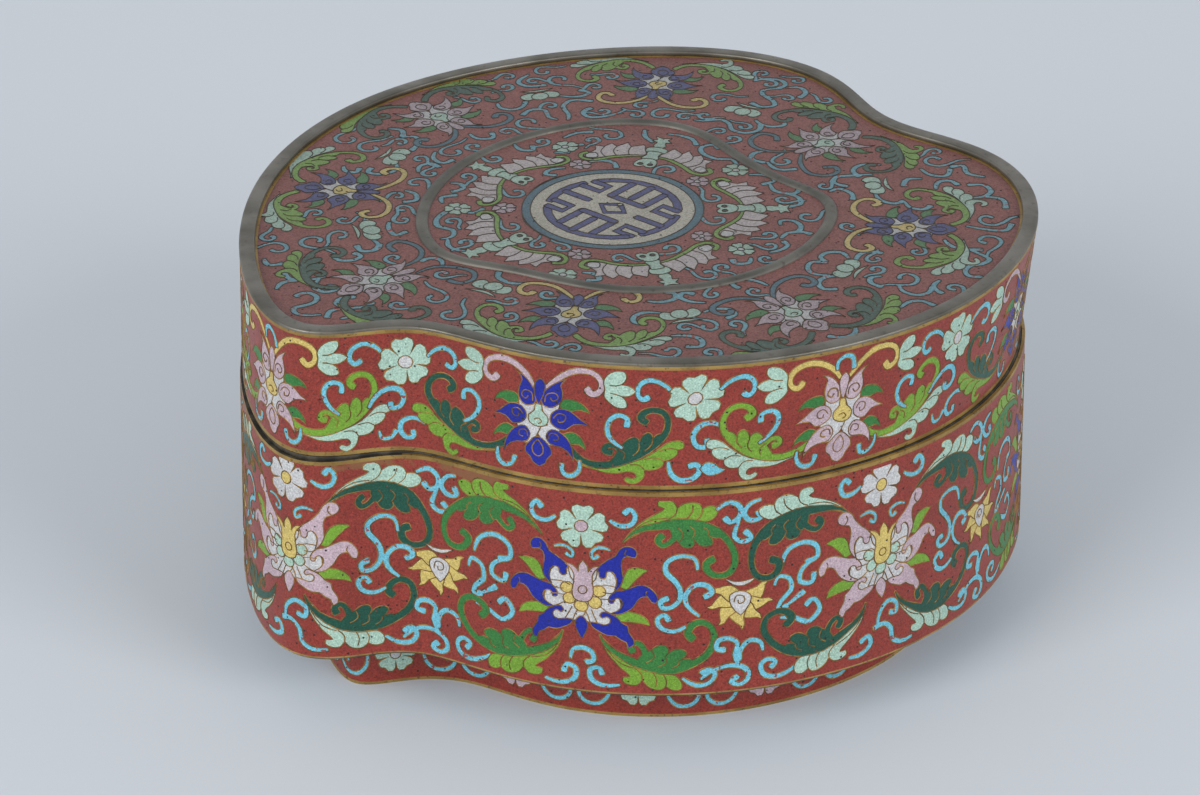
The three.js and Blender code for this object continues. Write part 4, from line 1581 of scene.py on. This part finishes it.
def make_lid(settings):
    shell = Shell()
    low, high = LID_FOOT + BAND, PANEL - TOP_BAND
    side = Sheet(frieze(LID_AXES, lid_wall.length, LID_HALF, [lid_unit(blue) for blue in (False, True)],
                        [lid_joint(right) for right in (False, True)]),
                 sectors(lid_wall.length, low, high), GRID)
    lower, upper = shell.lay(side, lid_wall.at)
    panel_outline = inset(plan, RIM_WIDTH + PANEL_MARGIN)
    # The top's finishes are the copies greyed by a painted reflection and darkened by painted shade
    top = Sheet(top_drawing(), [panel_outline], prefix="dull_")
    [panel] = shell.lay(top, lambda x, y: (x, y, PANEL))
    foot = shell.ring(raised(lid_foot_plan, LID_FOOT))
    edge = shell.ring(raised(lid_top_plan, PANEL))
    inner_foot = shell.ring(raised(inset(lid_foot_plan, WALL), LID_FOOT))
    inner_top = shell.ring(raised(inset(lid_top_plan, WALL), PANEL - WALL))
    for outer, inner, finish in ((foot, lower, "gilt_edge"), (edge, upper, "gilt_edge"),
                                 (edge, panel, "gilt_edge"), (foot, inner_foot, "bronze"),
                                 (inner_foot, inner_top, "counter")):
        shell.strip(outer, inner, finish)
    shell.cap(inner_top, "counter", False)
    belongs(shell.build("lid_enamel"), "enamel", "lid")
    wire_a_wall("lid_side_wires", side, lid_wall, low, high, settings)
    sunk_panel = PANEL - settings.wire_sink / MM
    # The top's wires take the gilt darkened by painted shade and greyed by a painted reflection
    wire_a_sheet("lid_top_wires", top, lambda x, y: (x, y, sunk_panel),
                 lambda x, y: inside((x, y), panel_outline), settings, "dull_gilt")


def make_base(settings):
    shell = Shell()
    low, high = FOOT_TOP + BAND, BASE_TOP - BAND
    side = Sheet(frieze(BASE_AXES, base_wall.length, BASE_HALF, [base_unit(blue) for blue in (False, True)],
                        [base_joint()] * 2),
                 sectors(base_wall.length, low, high), GRID)
    lower, upper = shell.lay(side, base_wall.at)
    rise = [LIP_RISE * closed_seam(i) for i in range(len(plan))]
    def lip_ring(curve, z):
        return shell.ring([(x, y, z + up) for (x, y), up in zip(curve, rise)])
    under = shell.ring(raised(inset(base_foot_plan, CHAMFER), FOOT_TOP))
    foot = shell.ring(raised(base_foot_plan, FOOT_TOP + CHAMFER))
    lip_foot = lip_ring(base_top_plan, high + LIP_LAP)
    edge = lip_ring(base_top_plan, BASE_TOP)
    lip_inner = lip_ring(inset(base_top_plan, LIP_WIDTH), BASE_TOP)
    lip_bed = shell.ring(raised(inset(base_top_plan, LIP_WIDTH + LIP_DIP), BASE_TOP - LIP_DIP))
    inner_top = shell.ring(raised(inset(base_top_plan, WALL), BASE_TOP - LIP_DIP))
    inner_foot = shell.ring(raised(inset(base_foot_plan, WALL), FOOT_TOP + WALL))
    shell.cap(under, "counter", False)
    for outer, inner, finish in ((under, foot, "tarnish"), (foot, lower, "gilt_edge"),
                                 (lip_foot, upper, "ground")):
        shell.strip(outer, inner, finish)
    for i in range(len(plan)):
        j = (i + 1) % len(plan)
        shell.face([edge[i], edge[j], lip_inner[j], lip_inner[i]],
                   "gilt_edge" if closed_seam(i) > LIP_GILT_FROM else "tarnish")
    for outer, inner, finish in ((lip_foot, edge, "gilt_edge"), (lip_inner, lip_bed, "tarnish"),
                                 (lip_bed, inner_top, "tarnish"), (inner_top, inner_foot, "counter")):
        shell.strip(outer, inner, finish)
    shell.cap(inner_foot, "counter", True)
    belongs(shell.build("base_enamel"), "enamel", "base")
    wire_a_wall("base_wires", side, base_wall, low, high, settings)


def swept(name, curve, section, finish, first="", count=0):
    """Closed ring whose cross-section, [inset, z] from the outer face up and inwards, follows a curve.

    The first few sides of the cross-section can have a finish of their own.
    """
    shell = Shell()
    rings = [shell.ring(raised(inset(curve, d), z)) for d, z in section]
    for k, (a, b) in enumerate(pairs(rings)):
        for i in range(len(curve)):
            j = (i + 1) % len(curve)
            shell.face([a[i], a[j], b[j], b[i]], first if k < count else finish)
    return shell.build(name)


def eased(section, radius, steps=3):
    """The section with each of its corners rounded."""
    out = []
    for i, here in enumerate(section):
        (bx, by), last, following = here, section[i - 1], section[(i + 1) % len(section)]
        d1, d2 = apart(last, here), apart(here, following)
        r = min(radius, d1 * 0.45, d2 * 0.45)
        p = (bx + (last[0] - bx) / d1 * r, by + (last[1] - by) / d1 * r)
        q = (bx + (following[0] - bx) / d2 * r, by + (following[1] - by) / d2 * r)
        for k in range(steps + 1):
            t = k / steps
            out.append(((1 - t) ** 2 * p[0] + 2 * t * (1 - t) * bx + t * t * q[0],
                        (1 - t) ** 2 * p[1] + 2 * t * (1 - t) * by + t * t * q[1]))
    return out


def make_rims():
    rounded = eased([(0, TOP), (RIM_WIDTH, TOP), (RIM_WIDTH, PANEL), (0, PANEL)], RIM_ROUNDING)
    rim = [(0, PANEL), (0, PANEL + RIM_GILT)] + rounded[:len(rounded) * 3 // 4]
    belongs(swept("lid_rim_strip", plan, rim, "bronze", "gilt_edge", 1), "bronze", "lid_rim")
    angles = [pi * k / RIDGE_STEPS for k in range(RIDGE_STEPS + 1)]
    ridge = [(-cos(a) * RIDGE_HALF_WIDTH, PANEL + sin(a) * RIDGE_HEIGHT) for a in angles]
    belongs(swept("medallion_moulding", field, ridge, "dark_bronze"), "bronze", "medallion_ridge")
    ledge_foot, collar_top = (corner[2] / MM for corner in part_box("base_rim"))
    ledge_top = collar_top - COLLAR_RISE
    outer, inner = LIP_WIDTH + LEDGE_GAP, COLLAR_INSET + COLLAR_THICKNESS
    section = eased([(outer, ledge_foot), (outer, ledge_top), (COLLAR_INSET, ledge_top),
                     (COLLAR_INSET, collar_top), (inner, collar_top), (inner, ledge_foot)], LEDGE_ROUNDING, 2)
    belongs(swept("base_ledge", base_top_plan, section, "tarnish"), "bronze", "base_rim")


def foot_frieze():
    """Mint and mauve blossoms in turn, with scrolls between them."""
    step = foot_wall.length / FOOT_FLOWERS
    design = Design()
    for k in range(-2, FOOT_FLOWERS + 2):
        design.place(foot_unit("mauve" if k % 2 else "mint"), FOOT_FIRST + step * k, 0)
    return design


def make_foot(settings):
    shell = Shell()
    low, high = FOOT_BAND, FOOT_TOP - FOOT_BAND
    side = Sheet(foot_frieze(), sectors(foot_wall.length, low, high), GRID)
    lower, upper = shell.lay(side, foot_wall.at)
    inner_plan = inset(foot_plan, WALL)
    foot, top = shell.ring(raised(foot_plan, 0)), shell.ring(raised(foot_plan, FOOT_TOP))
    inner_foot, inner_top = shell.ring(raised(inner_plan, 0)), shell.ring(raised(inner_plan, FOOT_TOP))
    for outer, inner, finish in ((foot, lower, "gilt_edge"), (top, upper, "gilt_edge"),
                                 (top, inner_top, "tarnish"), (foot, inner_foot, "tarnish"),
                                 (inner_foot, inner_top, "counter")):
        shell.strip(outer, inner, finish)
    belongs(shell.build("foot_enamel"), "enamel", "foot_ring")
    wire_a_wall("foot_wires", side, foot_wall, low, high, settings)


# ---------------------------------------------------------------- stage, in metres

FLOOR_REACH = 9
SOFTBOX_SIZE, SOFTBOX_AIM, SOFTBOX_TONE = 2.6, (0, 0, 0.07), (255, 252, 248)
SOFTBOXES = (("left_softbox", (-3.3, -3.3, 2.5), 158), ("right_softbox", (3.6, -3.0, 2.4), 122))
# Screen colours of the sky at two shares of its height.
SKY = ((0.35, (206, 208, 211)), (0.85, (150, 153, 157)))
SKY_STRENGTH = 1.38
CAMERA_PLACE, CAMERA_TILT = (-0.01084, -0.96164, 0.58706), 28.881
CAMERA_LENS, CAMERA_SENSOR, CAMERA_REACH = 105, 36, 60


def lay_floor(settings):
    mesh = bpy.data.meshes.new("studio_floor")
    corners = [(FLOOR_REACH * x, FLOOR_REACH * y, 0) for x, y in ((-1, -1), (1, -1), (1, 1), (-1, 1))]
    mesh.from_pydata(corners, [], [(0, 1, 2, 3)])
    paper = Finish("pale_paper", Roughness=0.9, Specular_IOR_Level=0.1)
    paper.feed("Base Color", tone(*settings.paper))
    mesh.materials.append(paper.material)
    shown("studio_floor", mesh)


def light_sky():
    world = bpy.data.worlds.new("studio")
    world.use_nodes = True
    nodes, links = world.node_tree.nodes, world.node_tree.links
    direction, height = nodes.new("ShaderNodeTexCoord"), nodes.new("ShaderNodeSeparateXYZ")
    fade, sky = nodes.new("ShaderNodeValToRGB"), nodes["Background"]
    for element, (position, colour) in zip(fade.color_ramp.elements, SKY):
        element.position, element.color = position, tone(*colour)
    links.new(direction.outputs["Generated"], height.inputs["Vector"])
    links.new(height.outputs["Z"], fade.inputs["Fac"])
    links.new(fade.outputs["Color"], sky.inputs["Color"])
    sky.inputs["Strength"].default_value = SKY_STRENGTH
    bpy.context.scene.world = world


def hang_softboxes():
    for name, place, watts in SOFTBOXES:
        light = bpy.data.lights.new(name, "AREA")
        light.shape, light.size, light.energy = "SQUARE", SOFTBOX_SIZE, watts
        light.color = tone(*SOFTBOX_TONE)[:3]
        lamp = shown(name, light)
        lamp.location = place
        lamp.rotation_euler = (Vector(SOFTBOX_AIM) - Vector(place)).to_track_quat("-Z", "Y").to_euler()


def set_camera():
    camera = bpy.data.cameras.new("camera")
    camera.lens, camera.sensor_width, camera.clip_end = CAMERA_LENS, CAMERA_SENSOR, CAMERA_REACH
    eye = shown("camera", camera)
    eye.location = CAMERA_PLACE
    eye.rotation_euler = (radians(90 - CAMERA_TILT), 0, 0)
    bpy.context.scene.camera = eye
    bpy.context.scene.view_settings.view_transform = "Standard"


# ---------------------------------------------------------------- add-on

class BOX_settings(bpy.types.PropertyGroup):
    wire_radius: bpy.props.FloatProperty(
        name="Wire Radius", description="Half the thickness of the gilt wires",
        default=0.3 * MM, unit="LENGTH")
    wire_sink: bpy.props.FloatProperty(
        name="Wire Sink", description="How deep a wire's middle lies under the enamel's face",
        default=0.12 * MM, unit="LENGTH")
    paper: bpy.props.FloatVectorProperty(
        name="Paper", description="Screen colour of the studio floor, 0 to 255",
        default=(200, 206, 213), size=3)


class BOX_OT_lid(bpy.types.Operator):
    """Makes the enamelled lid and its wires"""
    bl_idname = "box.lid"
    bl_label = "Lid"

    def execute(self, context):
        make_lid(context.scene.box_settings)
        return {"FINISHED"}


class BOX_OT_base(bpy.types.Operator):
    """Makes the enamelled base and its wires"""
    bl_idname = "box.base"
    bl_label = "Base"

    def execute(self, context):
        make_base(context.scene.box_settings)
        return {"FINISHED"}


class BOX_OT_rims(bpy.types.Operator):
    """Makes the bronze rims and the moulding of the lid"""
    bl_idname = "box.rims"
    bl_label = "Rims"

    def execute(self, context):
        make_rims()
        return {"FINISHED"}


class BOX_OT_foot(bpy.types.Operator):
    """Makes the ring underneath"""
    bl_idname = "box.foot"
    bl_label = "Foot Ring"

    def execute(self, context):
        make_foot(context.scene.box_settings)
        return {"FINISHED"}


class BOX_OT_stage(bpy.types.Operator):
    """Makes the floor, the lights and the camera"""
    bl_idname = "box.stage"
    bl_label = "Stage"

    def execute(self, context):
        lay_floor(context.scene.box_settings)
        light_sky()
        hang_softboxes()
        set_camera()
        return {"FINISHED"}


STEPS = (BOX_OT_lid, BOX_OT_base, BOX_OT_rims, BOX_OT_foot, BOX_OT_stage)


class BOX_PT_panel(bpy.types.Panel):
    bl_label = "Cloisonne Box"
    bl_space_type = "VIEW_3D"
    bl_region_type = "UI"
    bl_category = "Box"

    def draw(self, context):
        for name in BOX_settings.__annotations__:
            self.layout.prop(context.scene.box_settings, name)
        for step in STEPS:
            self.layout.operator(step.bl_idname)


def register():
    for kind in (BOX_settings,) + STEPS + (BOX_PT_panel,):
        bpy.utils.register_class(kind)
    bpy.types.Scene.box_settings = bpy.props.PointerProperty(type=BOX_settings)


def unregister():
    del bpy.types.Scene.box_settings
    for kind in (BOX_PT_panel,) + STEPS[::-1] + (BOX_settings,):
        bpy.utils.unregister_class(kind)


def main():
    register()
    for step in STEPS:
        group, name = step.bl_idname.split(".")
        getattr(getattr(bpy.ops, group), name)()


if __name__ == "__main__":
    main()
